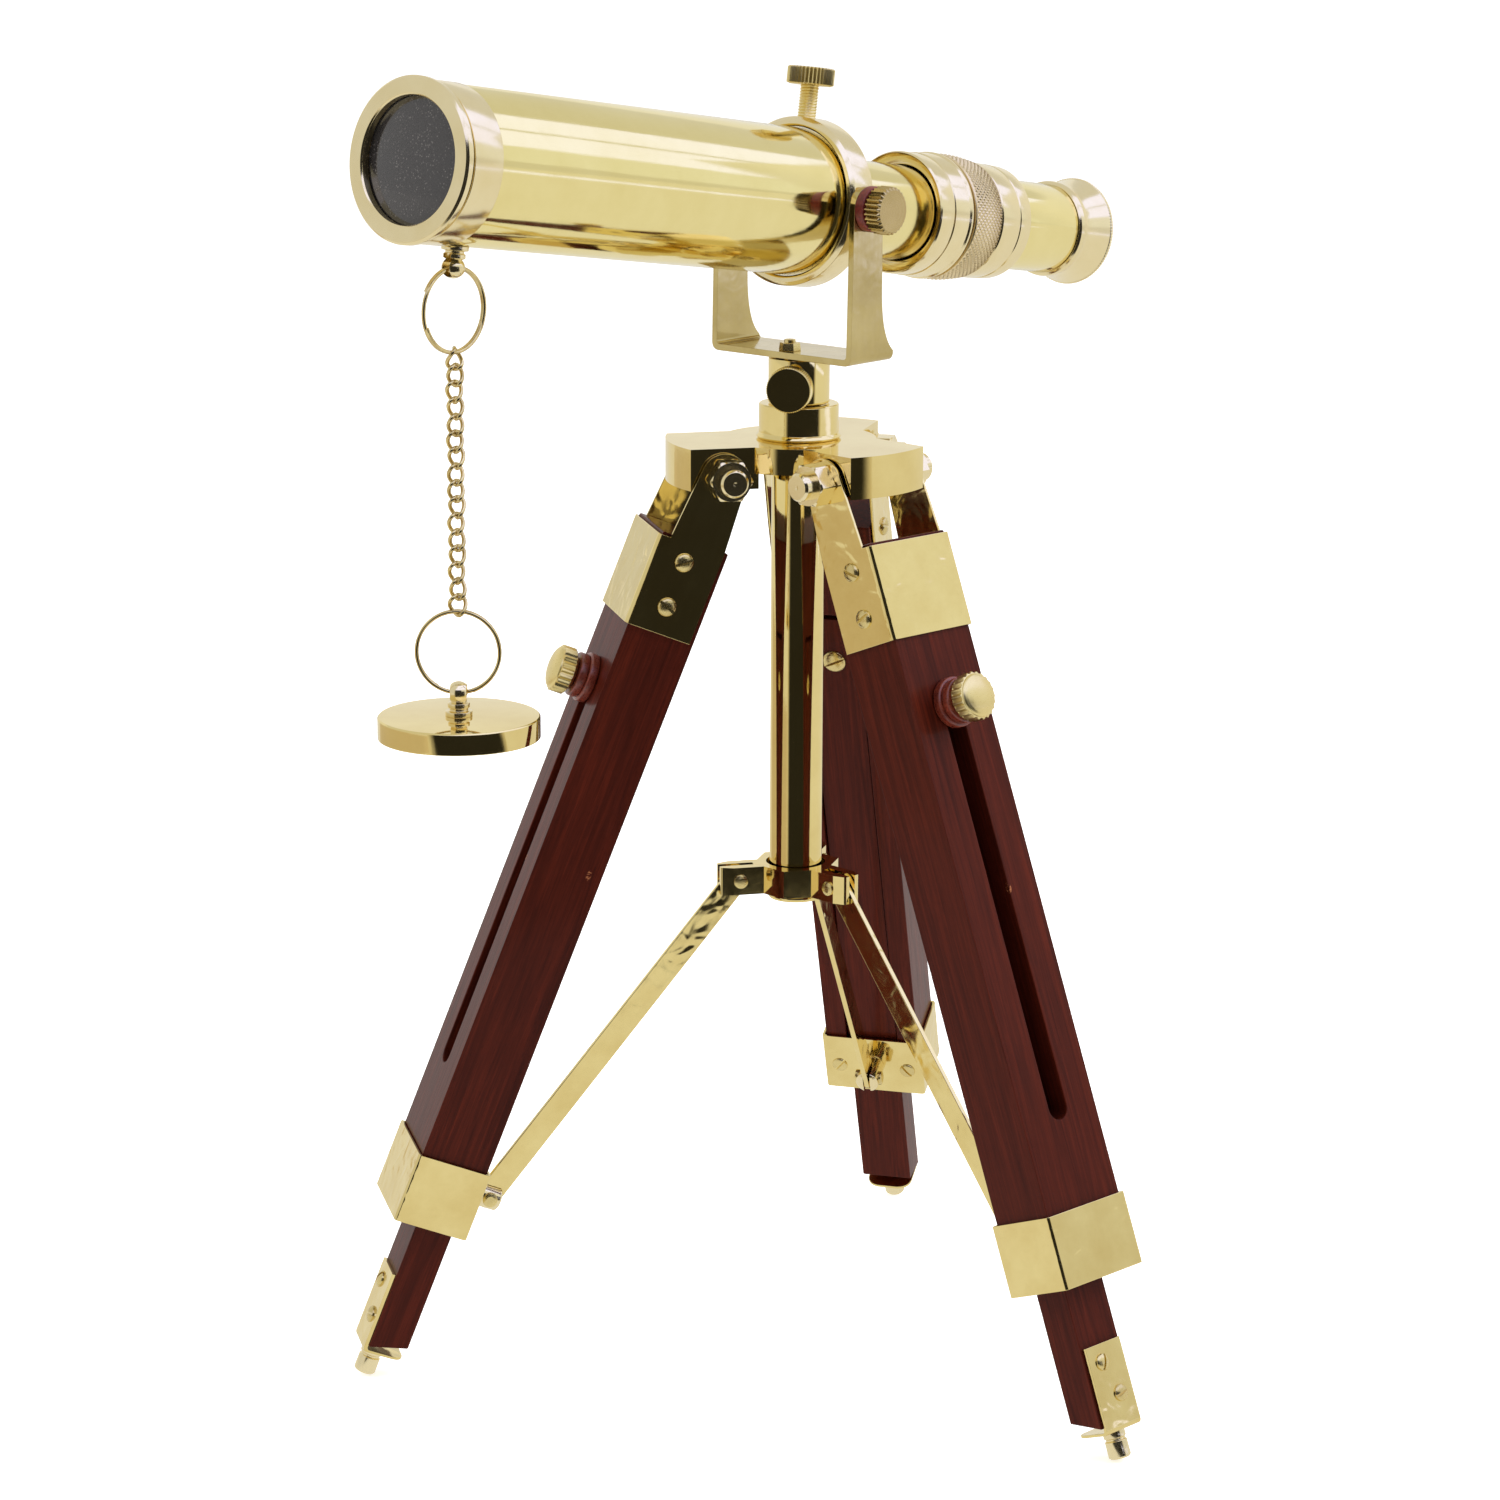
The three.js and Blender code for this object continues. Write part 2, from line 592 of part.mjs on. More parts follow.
function innerLeg(name) {
  const outline = new THREE.Shape();
  outline.moveTo(SLIDER_INNER, -SLIDER_TOP);
  outline.lineTo(SLIDER_INNER, -SLIDER_END + 2.5);
  outline.lineTo(SLIDER_OUTER, -SLIDER_END);
  outline.lineTo(SLIDER_OUTER, -SLIDER_TOP);
  const hole = at(rod("x", COARSE, 2.3, SLIDER_INNER - 1, SLIDER_OUTER + 1), 0, 0, -CLAMP_STATION);
  return piece("inner_leg_" + name, cut(slab(outline, -SLIDER_HALF, SLIDER_HALF), hole), wood);
}

function footBracket(name) {
  const inside = SLIDER_OUTER + GAP;
  const outside = inside + SHEET;
  const half = 7;
  const flangeTop = -SLIDER_END - 1.1;
  const flangeLow = flangeTop - SHEET;
  const pegEnd = -276;
  const plate = box(inside, outside, -half, half, flangeLow, -244.3);
  const flange = box(-8, outside, -half, half, flangeLow, flangeTop);
  const peg = turned("z", MEDIUM, [
    [pegEnd, 0], [pegEnd, 2.6], [pegEnd + 0.5, 3.1], [flangeLow + 0.1, 3.1], [flangeLow + 0.1, 0],
  ]);
  const places = [[0, -1.9, -249.2], [0, 1.9, -258.7]];
  const heads = screwHeads("x", SMALL_HEAD, outside - 0.1, outside + 0.9, places);
  return piece("foot_bracket_" + name, join(plate, flange, peg, ...heads), brass);
}

// The clamp's bolt, with its slotted head inside the leg and its two washers outside.
function clampBolt(name) {
  const head = SLIDER_INNER - GAP;
  const washers = WOOD_OUTER + GAP;
  const profile = [
    [head - 1.2, 0], [head - 1.2, 3], [head - 0.4, 3.5], [head, 3.5], [head, 2], [washers, 2],
    [washers, 7], [washers + 2.6, 7], [washers + 2.6, 6.3], [16.5, 6.3], [16.5, 0],
  ];
  return piece("clamp_bolt_" + name, at(turned("x", MEDIUM, profile), 0, 0, -CLAMP_STATION), fibre);
}

function clampKnob(name) {
  const profile = [
    [16.8, 0], [16.8, 4.6], [17.6, 6.1], [18, 6.6], [22, 6.6], [22.5, 6.1], [23.5, 3], [23.5, 0],
  ];
  return piece("clamp_knob_" + name, at(turned("x", MEDIUM, profile), 0, 0, -CLAMP_STATION), brass);
}

function leg(name, azimuth) {
  const radians = THREE.MathUtils.degToRad(azimuth);
  const group = frame(
    azimuth, -LEG_SPLAY, HINGE_RADIUS * Math.cos(radians), HINGE_RADIUS * Math.sin(radians), HINGE_HEIGHT,
  );
  const makers = [
    upperLeg, topBracket, hingeBolt, ferrule, innerLeg, footBracket, clampBolt, clampKnob,
  ];
  makers.forEach((maker) => group.add(maker(name)));
  return group;
}

// ---------------------------------------------------------------- spreader
function spreaderCollar() {
  const bore = 8.4;
  const reach = 22.5;
  const lugHalf = 4;
  const ringRadius = 12;
  const slotRoot = 12.6;
  const ring = rod("z", COARSE, ringRadius, COLLAR_LOW, COLLAR_HIGH);
  const lugs = Object.values(LEG_AZIMUTHS).map((azimuth) => {
    const lug = box(bore, reach, -lugHalf, lugHalf, COLLAR_LOW, COLLAR_HIGH);
    const slot = box(slotRoot, reach + 1, -FORK_SLOT / 2, FORK_SLOT / 2, COLLAR_LOW - 1, COLLAR_HIGH + 1);
    const pin = at(
      rod("y", COARSE, PIN_RADIUS, -lugHalf - 0.8, lugHalf + 0.8), COLLAR_PIN.radius, 0, COLLAR_PIN.height,
    );
    return turnedAbout(join(cut(lug, slot), pin), azimuth);
  });
  const hole = rod("z", MEDIUM, bore, COLLAR_LOW - 1, COLLAR_HIGH + 1);
  return piece("spreader_collar", cut(join(ring, ...lugs), hole), brass);
}

// An arm from the collar's pin to the ferrule's lug, drawn in the plane of its leg.
function spreaderArm(name, azimuth) {
  const splay = THREE.MathUtils.degToRad(LEG_SPLAY);
  const lugRadius = HINGE_RADIUS + LUG_PIN.across * Math.cos(splay) + LUG_PIN.along * Math.sin(splay);
  const lugHeight = HINGE_HEIGHT + LUG_PIN.across * Math.sin(splay) - LUG_PIN.along * Math.cos(splay);
  const run = lugRadius - COLLAR_PIN.radius;
  const fall = COLLAR_PIN.height - lugHeight;
  const length = Math.hypot(run, fall);
  const outline = new THREE.Shape();
  outline.absarc(0, 0, ARM_HALF_WIDTH, 0, Math.PI);
  outline.absarc(0, -length, ARM_HALF_WIDTH, Math.PI, 2 * Math.PI);
  const hole = rod("y", COARSE, PIN_RADIUS + GAP, -ARM_THICKNESS, ARM_THICKNESS);
  const strap = slab(outline, -ARM_THICKNESS / 2, ARM_THICKNESS / 2);
  const pitch = THREE.MathUtils.radToDeg(Math.atan2(run, fall));
  const radians = THREE.MathUtils.degToRad(azimuth);
  const group = frame(
    azimuth, -pitch,
    COLLAR_PIN.radius * Math.cos(radians), COLLAR_PIN.radius * Math.sin(radians), COLLAR_PIN.height,
  );
  group.add(piece("spreader_arm_" + name, cut(strap, hole), brass));
  return group;
}

// ---------------------------------------------------------------- assembly
const head = frame(HEAD_AZIMUTH, 0, 0, 0, 0);
head.add(yoke(), yokeSleeve(), yokeScrew(), azimuthScrew());
head.add(pivotHardware("far", 1), pivotHardware("near", -1));

const telescope = frame(0, TUBE_TILT, PIVOT_OFFSET, 0, PIVOT_HEIGHT);
telescope.add(clampRing(), clampScrew(), objectiveBezel(), objectiveLens(), objectiveCell(), mainTube());
telescope.add(rearBush(), capStud(), drawTube(), erectorCell(), drawCollar(), endRing(), focusRing());
telescope.add(eyepieceTube(), eyeCup(), smallLens("field_lens", 68), smallLens("eye_lens", 108));
head.add(telescope);

// The chain hangs plumb from the middle of the stud's ball.
const tilt = THREE.MathUtils.degToRad(TUBE_TILT);
const hangerX = PIVOT_OFFSET + STUD_STATION * Math.cos(tilt) - STUD_DROP * Math.sin(tilt);
const hangerZ = PIVOT_HEIGHT - STUD_STATION * Math.sin(tilt) - STUD_DROP * Math.cos(tilt);
const LOWER_RING_AZIMUTH = 135 - HEAD_AZIMUTH; // plane of the lower ring, within the head
const hanger = frame(0, 0, hangerX, 0, hangerZ);
const upperRing = splitRing("upper_split_ring", 0);
upperRing.position.z = -LOOP;
const lowerRing = splitRing("lower_split_ring", LOWER_RING_AZIMUTH);
lowerRing.position.z = -3 * LOOP - CHAIN_REACH;
hanger.add(upperRing, capChain(-2 * LOOP), lowerRing);
hanger.add(lensCap(-4 * LOOP - CHAIN_REACH, LOWER_RING_AZIMUTH));
head.add(hanger);

const model = new THREE.Group();
model.add(hubPlate(), socket(), centreColumn(), head, spreaderCollar());
for (const [name, azimuth] of Object.entries(LEG_AZIMUTHS)) {
  model.add(leg(name, azimuth), spreaderArm(name, azimuth));
}
model.updateMatrixWorld(true);
const extent = new THREE.Box3().setFromObject(model, true);
const middle = extent.getCenter(new THREE.Vector3());
model.position.set(-middle.x, -middle.y, -extent.min.z);

export default model;
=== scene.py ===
"""Looks for a brass telescope on a folding wooden tripod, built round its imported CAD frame.

Lengths are millimetres in each piece's own frame, and each frame's matrix turns them into metres.
The floor, the cards and the lights are placed in metres.
"""
import json
import math

import bmesh
import bpy
import numpy as np
from mathutils import Matrix, Vector


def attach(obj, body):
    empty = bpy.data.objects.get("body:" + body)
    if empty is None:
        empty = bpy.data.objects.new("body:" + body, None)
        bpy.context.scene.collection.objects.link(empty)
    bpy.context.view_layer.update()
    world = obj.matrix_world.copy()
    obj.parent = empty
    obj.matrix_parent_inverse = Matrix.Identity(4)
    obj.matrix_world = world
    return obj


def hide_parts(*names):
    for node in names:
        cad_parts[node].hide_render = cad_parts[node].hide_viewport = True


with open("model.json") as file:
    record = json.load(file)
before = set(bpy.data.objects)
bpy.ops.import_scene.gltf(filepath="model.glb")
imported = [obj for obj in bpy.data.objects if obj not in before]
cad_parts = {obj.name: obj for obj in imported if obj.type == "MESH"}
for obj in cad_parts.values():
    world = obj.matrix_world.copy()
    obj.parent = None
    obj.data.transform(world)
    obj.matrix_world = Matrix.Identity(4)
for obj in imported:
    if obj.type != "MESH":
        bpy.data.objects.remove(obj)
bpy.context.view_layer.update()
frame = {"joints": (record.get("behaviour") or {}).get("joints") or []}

MM = 0.001
UP = Vector((0, 0, 1))
JOINTS = {joint["name"]: joint for joint in frame["joints"]}
LEG_NAMES = ("front", "back", "side")
SHARP = 38
FLAT_SHARP = 30
WIRE_SHARP = 60
KNURL_SHARP = 70
GENTLE_BEND = 8

# ------------------------------------------------------------------ driving sizes, as in the CAD model
YOKE_BASE = 287.3
PIVOT_HEIGHT = 329.6
PLATE_TOP = 264.5
COLUMN_BOTTOM = 132.4
COLUMN_RADIUS = 7.45
TUBE_RADIUS = 20.0
TUBE_FRONT = -137.2
TUBE_REAR = 6.5
RING_RADIUS = 23.0
DRAW_RADIUS = 13.3
YOKE_HALF = 25.1
STRAP = 1.8
ARM_RADIUS = 6.1
LOOP = 10.65
RING_LEAN = 46
STUD_STATION = -131.0
STUD_DROP = 25.3
CAP_RADIUS = 20.97
CAP_DEPTH = 5.7
CAP_BELOW_BALL = 6.0
WOOD_HALF = 14.6
WOOD_INNER = -8.6
WOOD_OUTER = 11.1
SHEET = 0.8
GAP = 0.3
FACE_OUTER = WOOD_OUTER + GAP + SHEET
SIDE_OUTER = WOOD_HALF + GAP + SHEET
SLIDER_HALF = 7.75
SLIDER_INNER = -7.6
SLIDER_OUTER = 3.4
SLIDER_END = 266.5
CLAMP_STATION = 66.5
CLAMP_TRAVEL = 114.0
LUG_ACROSS = -15.5
LUG_ALONG = 216.5
COLLAR_LOW = 134.7
COLLAR_HIGH = 142.7
COLLAR_PIN_REACH = 17.0
FORK_HALF = 1.05

# ------------------------------------------------------------------ sizes that only the looks have
WIRE = 0.52
LINK_TWIST = 52


# ------------------------------------------------------------------ frames
def axes_frame(origin, x_axis, y_axis):
    """The matrix from millimetres in a frame to metres in the part's frame."""
    x = Vector(x_axis).normalized()
    y = Vector(y_axis).normalized()
    z = x.cross(y)
    turn = Matrix((x, y, z)).transposed().to_4x4()
    return Matrix.Translation(Vector(origin)) @ turn @ Matrix.Scale(MM, 4)


def joint_place(name):
    return Vector(JOINTS[name]["pos_m"]), Vector(JOINTS[name]["axis"])


azimuth_origin, _ = joint_place("azimuth")
TRIPOD_ORIGIN = azimuth_origin - Vector((0, 0, YOKE_BASE * MM))
TRIPOD = axes_frame(TRIPOD_ORIGIN, (1, 0, 0), (0, 1, 0))
pivot_origin, altitude_axis = joint_place("altitude")
TUBE_AXIS = Vector(JOINTS["tube_slide"]["axis"])
TUBE = axes_frame(pivot_origin, TUBE_AXIS, -altitude_axis)
HEAD_FORWARD = Vector((TUBE_AXIS.x, TUBE_AXIS.y, 0)).normalized()
HEAD = axes_frame(TRIPOD_ORIGIN, HEAD_FORWARD, -altitude_axis)
PIVOT_OFFSET = (HEAD.inverted() @ pivot_origin).x
HANGER = axes_frame(joint_place("upper_ring_swing")[0], HEAD_FORWARD, -altitude_axis)
CHAIN_REACH = (joint_place("chain_swing")[0] - joint_place("lower_ring_swing")[0]).length / MM
LOWER_RING_TANGENT = joint_place("lower_ring_swing")[1]


def leg_frame(name):
    hinge, tangent = joint_place("leg_fold_" + name)
    outward = joint_place("leg_clamp_turn_" + name)[1]
    return axes_frame(hinge, outward, tangent)


def upright_frame(origin, axis):
    """A frame with +X along a level axis and +Z up."""
    return axes_frame(origin, axis, UP.cross(axis))


def collar_frame(name):
    tangent = joint_place("leg_fold_" + name)[1]
    return axes_frame(TRIPOD_ORIGIN, tangent.cross(UP), tangent)


def lug_point(name):
    return leg_frame(name) @ Vector((LUG_ACROSS, 0, -LUG_ALONG))


def arm_frame(name):
    """From the collar's pin, with -Z towards the lug's pin."""
    pin, tangent = joint_place("arm_fold_" + name)
    down = (lug_point(name) - pin).normalized()
    return axes_frame(pin, tangent.cross(-down), tangent)


# ------------------------------------------------------------------ mesh helpers, all in millimetres
def rounded(points, radius, closed=False, steps=3):
    """An outline with each corner turned into a short curve, unless it hardly bends."""
    corners = [Vector(point) for point in points]
    count = len(corners)
    result = []
    for index, corner in enumerate(corners):
        if not closed and index in (0, count - 1):
            result.append(corner)
            continue
        before = corners[index - 1] - corner
        after = corners[(index + 1) % count] - corner
        bend = math.pi - before.angle(after)
        if bend < math.radians(GENTLE_BEND):
            result.append(corner)
            continue
        reach = min(radius * math.tan(bend / 2), 0.45 * before.length, 0.45 * after.length)
        start = corner + before.normalized() * reach
        end = corner + after.normalized() * reach
        for step in range(steps + 1):
            t = step / steps
            result.append(start * (1 - t) ** 2 + corner * 2 * t * (1 - t) + end * t * t)
    return result


def arc(centre_x, centre_y, radius, start, end, steps=12):
    """Points on an arc, with its angles in degrees."""
    angles = [math.radians(start + (end - start) * step / steps) for step in range(steps + 1)]
    return [(centre_x + radius * math.cos(a), centre_y + radius * math.sin(a)) for a in angles]


def mesh_from(name, vertices, faces):
    mesh = bpy.data.meshes.new(name)
    mesh.from_pydata([tuple(v) for v in vertices], [], faces)
    mesh.update()
    return mesh


AXIS_ORDER = {"x": (0, 1, 2), "y": (2, 0, 1), "z": (1, 2, 0)}


def solid(name, vertices, faces, axis="x"):
    """A closed mesh that faces outwards, from vertices that are drawn along x and turned to the axis."""
    order = AXIS_ORDER[axis]
    mesh = mesh_from(name, [[v[k] for k in order] for v in vertices], faces)
    shape = bmesh.new()
    shape.from_mesh(mesh)
    bmesh.ops.recalc_face_normals(shape, faces=shape.faces)
    if shape.calc_volume(signed=True) < 0:
        bmesh.ops.reverse_faces(shape, faces=shape.faces)
    shape.to_mesh(mesh)
    shape.free()
    return mesh


def wound(name, vertices, sides, closed=False):
    """A closed mesh from rings of vertices, each ring joined to the next one."""
    count = len(vertices) // sides
    faces = []
    for index in range(count if closed else count - 1):
        low = index * sides
        high = (index + 1) % count * sides
        for k in range(sides):
            after = (k + 1) % sides
            faces.append((low + k, low + after, high + after, high + k))
    if not closed:
        faces.append(tuple(range(sides - 1, -1, -1)))
        faces.append(tuple(range(len(vertices) - sides, len(vertices))))
    return solid(name, vertices, faces)


def lathe(profile, axis="x", sides=96, rounding=0.15, closed=False, relief=None):
    """A turned mesh. The profile lists (station, radius). relief(station, radius, angles) gives the radii."""
    outline = rounded(profile, rounding, closed) if rounding else [Vector(p) for p in profile]
    angles = np.linspace(0, 2 * math.pi, sides, endpoint=False)
    vertices = []
    rings = []
    for station, radius in outline:
        if radius < 1e-6:
            rings.append([len(vertices)] * sides)
            vertices.append((station, 0.0, 0.0))
            continue
        radii = np.full(sides, radius)
        if relief:
            radii = relief(station, radius, angles)
        rings.append(list(range(len(vertices), len(vertices) + sides)))
        for r, a in zip(radii, angles):
            vertices.append((station, r * math.cos(a), r * math.sin(a)))
    faces = []
    pairs = list(zip(rings, rings[1:]))
    if closed:
        pairs.append((rings[-1], rings[0]))
    for low, high in pairs:
        for side in range(sides):
            after = (side + 1) % sides
            face = list(dict.fromkeys((low[side], low[after], high[after], high[side])))
            if len(face) > 2:
                faces.append(face)
    return solid("turned", vertices, faces, axis)


def rod(low, high, radius):
    """A lathe profile for a plain bar."""
    return [(low, 0), (low, radius), (high, radius), (high, 0)]


def pipe(low, high, inner, outer):
    """A lathe profile for a plain tube."""
    return [(low, inner), (low, outer), (high, outer), (high, inner)]


def prism(outline, low, high, axis="y"):
    """An outline given a thickness along an axis. It is drawn in the other two axes, in their order."""
    def place(u, v, depth):
        return {"x": (depth, u, v), "y": (u, depth, v), "z": (u, v, depth)}[axis]
    count = len(outline)
    vertices = [place(u, v, low) for u, v in outline] + [place(u, v, high) for u, v in outline]
    faces = [tuple(range(count)), tuple(range(2 * count - 1, count - 1, -1))]
    for index in range(count):
        after = (index + 1) % count
        faces.append((index, index + count, after + count, after))
    return solid("prism", vertices, faces)


def box(x_low, x_high, y_low, y_high, z_low, z_high):
    outline = [(x_low, z_low), (x_high, z_low), (x_high, z_high), (x_low, z_high)]
    return prism(outline, y_low, y_high)


def moved(mesh, x=0.0, y=0.0, z=0.0, turn=None):
    """The mesh turned by a matrix, if one is given, and then moved."""
    if turn is not None:
        mesh.transform(turn)
        if turn.determinant() < 0:
            mesh.flip_normals()
    mesh.transform(Matrix.Translation((x, y, z)))
    return mesh


def copy_of(mesh, matrix):
    twin = mesh.copy()
    twin.transform(matrix)
    if matrix.determinant() < 0:
        twin.flip_normals()
    return twin


def together(*meshes):
    """Several separate meshes as one mesh."""
    shape = bmesh.new()
    for mesh in meshes:
        shape.from_mesh(mesh)
    joined = bpy.data.meshes.new("together")
    shape.to_mesh(joined)
    shape.free()
    return joined


def new_object(name, data):
    item = bpy.data.objects.new(name, data)
    bpy.context.scene.collection.objects.link(item)
    return item


def modified(mesh, kind, settings, helpers=()):
    """The mesh after a modifier for each entry in settings. The helper objects are removed afterwards."""
    holder = new_object("holder", mesh)
    for values in settings:
        modifier = holder.modifiers.new(kind, kind)
        for key, value in values.items():
            setattr(modifier, key, value)
    bpy.context.view_layer.update()
    graph = bpy.context.evaluated_depsgraph_get()
    result = bpy.data.meshes.new_from_object(holder.evaluated_get(graph))
    for item in [holder, *helpers]:
        bpy.data.objects.remove(item)
    return result


def boolean(mesh, tools, operation="DIFFERENCE"):
    cutters = [new_object("cutter", tool) for tool in tools]
    settings = [{"operation": operation, "solver": "EXACT", "object": cutter} for cutter in cutters]
    return modified(mesh, "BOOLEAN", settings, cutters)


def bevelled(mesh, width, segments=2, angle=30):
    settings = {
        "width": width, "segments": segments, "limit_method": "ANGLE",
        "angle_limit": math.radians(angle), "use_clamp_overlap": True,
    }
    return modified(mesh, "BEVEL", [settings])


def swept(path, radius, sides, closed=False):
    """A round wire along a path of points."""
    points = [Vector(p) for p in path]
    count = len(points)
    vertices = []
    normal = None
    for index, point in enumerate(points):
        before = points[index - 1] if closed or index else point
        after = points[(index + 1) % count] if closed or index < count - 1 else point
        tangent = (after - before).normalized()
        if normal is None:
            guess = UP if abs(tangent.z) < 0.8 else Vector((1, 0, 0))
            normal = tangent.cross(guess).normalized()
        normal = (normal - tangent * normal.dot(tangent)).normalized()
        side = tangent.cross(normal)
        for k in range(sides):
            angle = 2 * math.pi * k / sides
            vertices.append(point + normal * radius * math.cos(angle) + side * radius * math.sin(angle))
    return wound("wire", vertices, sides, closed)


def add_piece(name, mesh, place, body, material, node=None, sharp=SHARP):
    """Puts a mesh into the scene as a piece that rides on a body, and stands for a CAD node if one is named.

    Its own coordinates stay as an attribute. A sharp angle of FLAT_SHARP marks a piece with small bevels. Its
    normals are weighted by area, so that flat faces shade flat beside the bevels.
    """
    own = np.zeros(len(mesh.vertices) * 3, np.float32)
    mesh.vertices.foreach_get("co", own)
    attribute = mesh.attributes.new("own", "FLOAT_VECTOR", "POINT")
    attribute.data.foreach_set("vector", own)
    mesh.transform(place)
    mesh.polygons.foreach_set("use_smooth", [True] * len(mesh.polygons))
    mesh.set_sharp_from_angle(angle=math.radians(sharp))
    if sharp <= FLAT_SHARP:
        mesh = modified(mesh, "WEIGHTED_NORMAL", [{"keep_sharp": True, "weight": 100}])
    mesh.name = name
    mesh.materials.clear()
    mesh.materials.append(material)
    piece = new_object(name, mesh)
    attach(piece, body)
    if node:
        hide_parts(node)


# ------------------------------------------------------------------ materials
class Nodes:
    """Short calls for building a material's nodes."""

    def __init__(self, name):
        self.material = bpy.data.materials.new(name)
        self.material.use_nodes = True
        self.tree = self.material.node_tree
        self.tree.nodes.clear()
        self.output = self.tree.nodes.new("ShaderNodeOutputMaterial")
        self.shader = self.tree.nodes.new("ShaderNodeBsdfPrincipled")
        self.link(self.shader.outputs["BSDF"], self.output.inputs["Surface"])
        attribute = self.add("Attribute")
        attribute.attribute_name = "own"
        self.own = attribute.outputs["Vector"]

    def link(self, start, end):
        self.tree.links.new(start, end)

    def feed(self, entry, value):
        """Gives an input a number, a colour or another node's output."""
        if isinstance(value, bpy.types.NodeSocket):
            self.link(value, entry)
        else:
            entry.default_value = value

    def set(self, **values):
        for key, value in values.items():
            self.feed(self.shader.inputs[key.replace("_", " ")], value)

    def add(self, kind, **values):
        node = self.tree.nodes.new("ShaderNode" + kind)
        for key, value in values.items():
            self.feed(node.inputs[key.replace("_", " ")], value)
        return node

    def scaled(self, vector, x, y, z):
        return self.add("Mapping", Vector=vector, Scale=(x, y, z)).outputs["Vector"]

    def round_axis(self, vector):
        """The point as (x, distance from the x axis, 0), for marks that run round a turned piece."""
        split = self.add("SeparateXYZ", Vector=vector).outputs
        length = self.add("VectorMath")
        length.operation = "LENGTH"
        self.link(self.add("CombineXYZ", Y=split["Y"], Z=split["Z"]).outputs[0], length.inputs[0])
        return self.add("CombineXYZ", X=split["X"], Y=length.outputs["Value"]).outputs[0]

    def noise(self, vector, scale, detail=4.0, roughness=0.55, distortion=0.0):
        node = self.add("TexNoise", Vector=vector, Scale=scale, Detail=detail, Roughness=roughness)
        node.inputs["Distortion"].default_value = distortion
        return node.outputs["Fac"]

    def cells(self, vector, scale):
        return self.add("TexVoronoi", Vector=vector, Scale=scale).outputs["Distance"]

    def spread(self, value, low, high, to_low=0.0, to_high=1.0):
        node = self.add("MapRange", Value=value, From_Min=low, From_Max=high, To_Min=to_low, To_Max=to_high)
        return node.outputs["Result"]

    def mix(self, factor, first, second):
        node = self.add("Mix")
        node.data_type = "RGBA"
        entries = [s for s in node.inputs if s.enabled]
        for socket, value in zip(entries, (factor, first, second)):
            self.feed(socket, value)
        return [s for s in node.outputs if s.enabled][0]

    def math(self, operation, first, second=0.0):
        node = self.add("Math")
        node.operation = operation
        for socket, value in zip(node.inputs, (first, second)):
            self.feed(socket, value)
        return node.outputs[0]

    def bump(self, height, strength, distance=0.0001):
        return self.add("Bump", Height=height, Strength=strength, Distance=distance).outputs["Normal"]


def brass(name, colour, deep, low, high, marks, pits=0.0, cloud=0.05, dents=0.0):
    """Polished brass: slow colour change, uneven polish, tool marks, shallow dents, and small pits."""
    nodes = Nodes(name)
    own = nodes.own
    tone = nodes.noise(own, cloud, 5.0, 0.6)
    colour_out = nodes.mix(nodes.spread(tone, 0.35, 0.75), colour, deep)
    polish = nodes.noise(nodes.scaled(own, *marks), 1.0, 6.0, 0.65)
    smear = nodes.noise(own, cloud * 4, 3.0, 0.5)
    uneven = nodes.spread(smear, 0.3, 0.7, 0.8, 1.3)
    rough = nodes.math("MULTIPLY", nodes.spread(polish, 0.3, 0.75, low, high), uneven)
    height = polish
    if dents:
        dent = nodes.noise(own, 0.16, 1.0, 0.5, 0.6)
        height = nodes.math("ADD", polish, nodes.math("MULTIPLY", dent, dents))
    if pits:
        hole = nodes.spread(nodes.cells(own, 1.1), 0.0, 0.16)
        chance = nodes.spread(nodes.noise(own, 0.23, 2.0), 0.52, 0.6, 1.0, 0.0)
        height = nodes.math("ADD", nodes.math("MULTIPLY", polish, 0.12), nodes.math("MAXIMUM", hole, chance))
    nodes.set(
        Base_Color=colour_out, Metallic=1.0, Roughness=rough,
        Normal=nodes.bump(height, 0.25 + pits, 0.00003),
    )
    return nodes.material


def turned_brass(name, colour, deep, low, high, strength=0.2):
    """Brass from a lathe: fine marks that run round the x axis."""
    nodes = Nodes(name)
    own = nodes.own
    tone = nodes.noise(own, 0.06, 5.0, 0.6)
    around = nodes.round_axis(own)
    marks = nodes.noise(around, 3.4, 8.0, 0.75)
    rough = nodes.spread(marks, 0.3, 0.7, low, high)
    nodes.set(
        Base_Color=nodes.mix(nodes.spread(tone, 0.35, 0.75), colour, deep),
        Metallic=1.0, Roughness=rough, Normal=nodes.bump(marks, strength, 0.00002),
    )
    return nodes.material


def knurled_brass(name, groove, crest):
    """Knurled brass about the x axis: bright where its radius is large, as at its crests, and brown where its
    radius is small, as in its grooves.
    """
    nodes = Nodes(name)
    own = nodes.own
    radius = nodes.add("SeparateXYZ", Vector=nodes.round_axis(own)).outputs["Y"]
    grime = nodes.noise(own, 0.5, 4.0, 0.6)
    height = nodes.math("ADD", radius, nodes.spread(grime, 0.3, 0.7, -0.1, 0.1))
    bright = nodes.spread(height, groove, crest)
    nodes.set(
        Base_Color=nodes.mix(bright, (0.42, 0.29, 0.11, 1), (0.88, 0.72, 0.42, 1)),
        Metallic=1.0, Roughness=nodes.spread(grime, 0.3, 0.7, 0.24, 0.38),
        Normal=nodes.bump(nodes.noise(own, 6.0, 4.0), 0.15, 0.00002),
    )
    return nodes.material


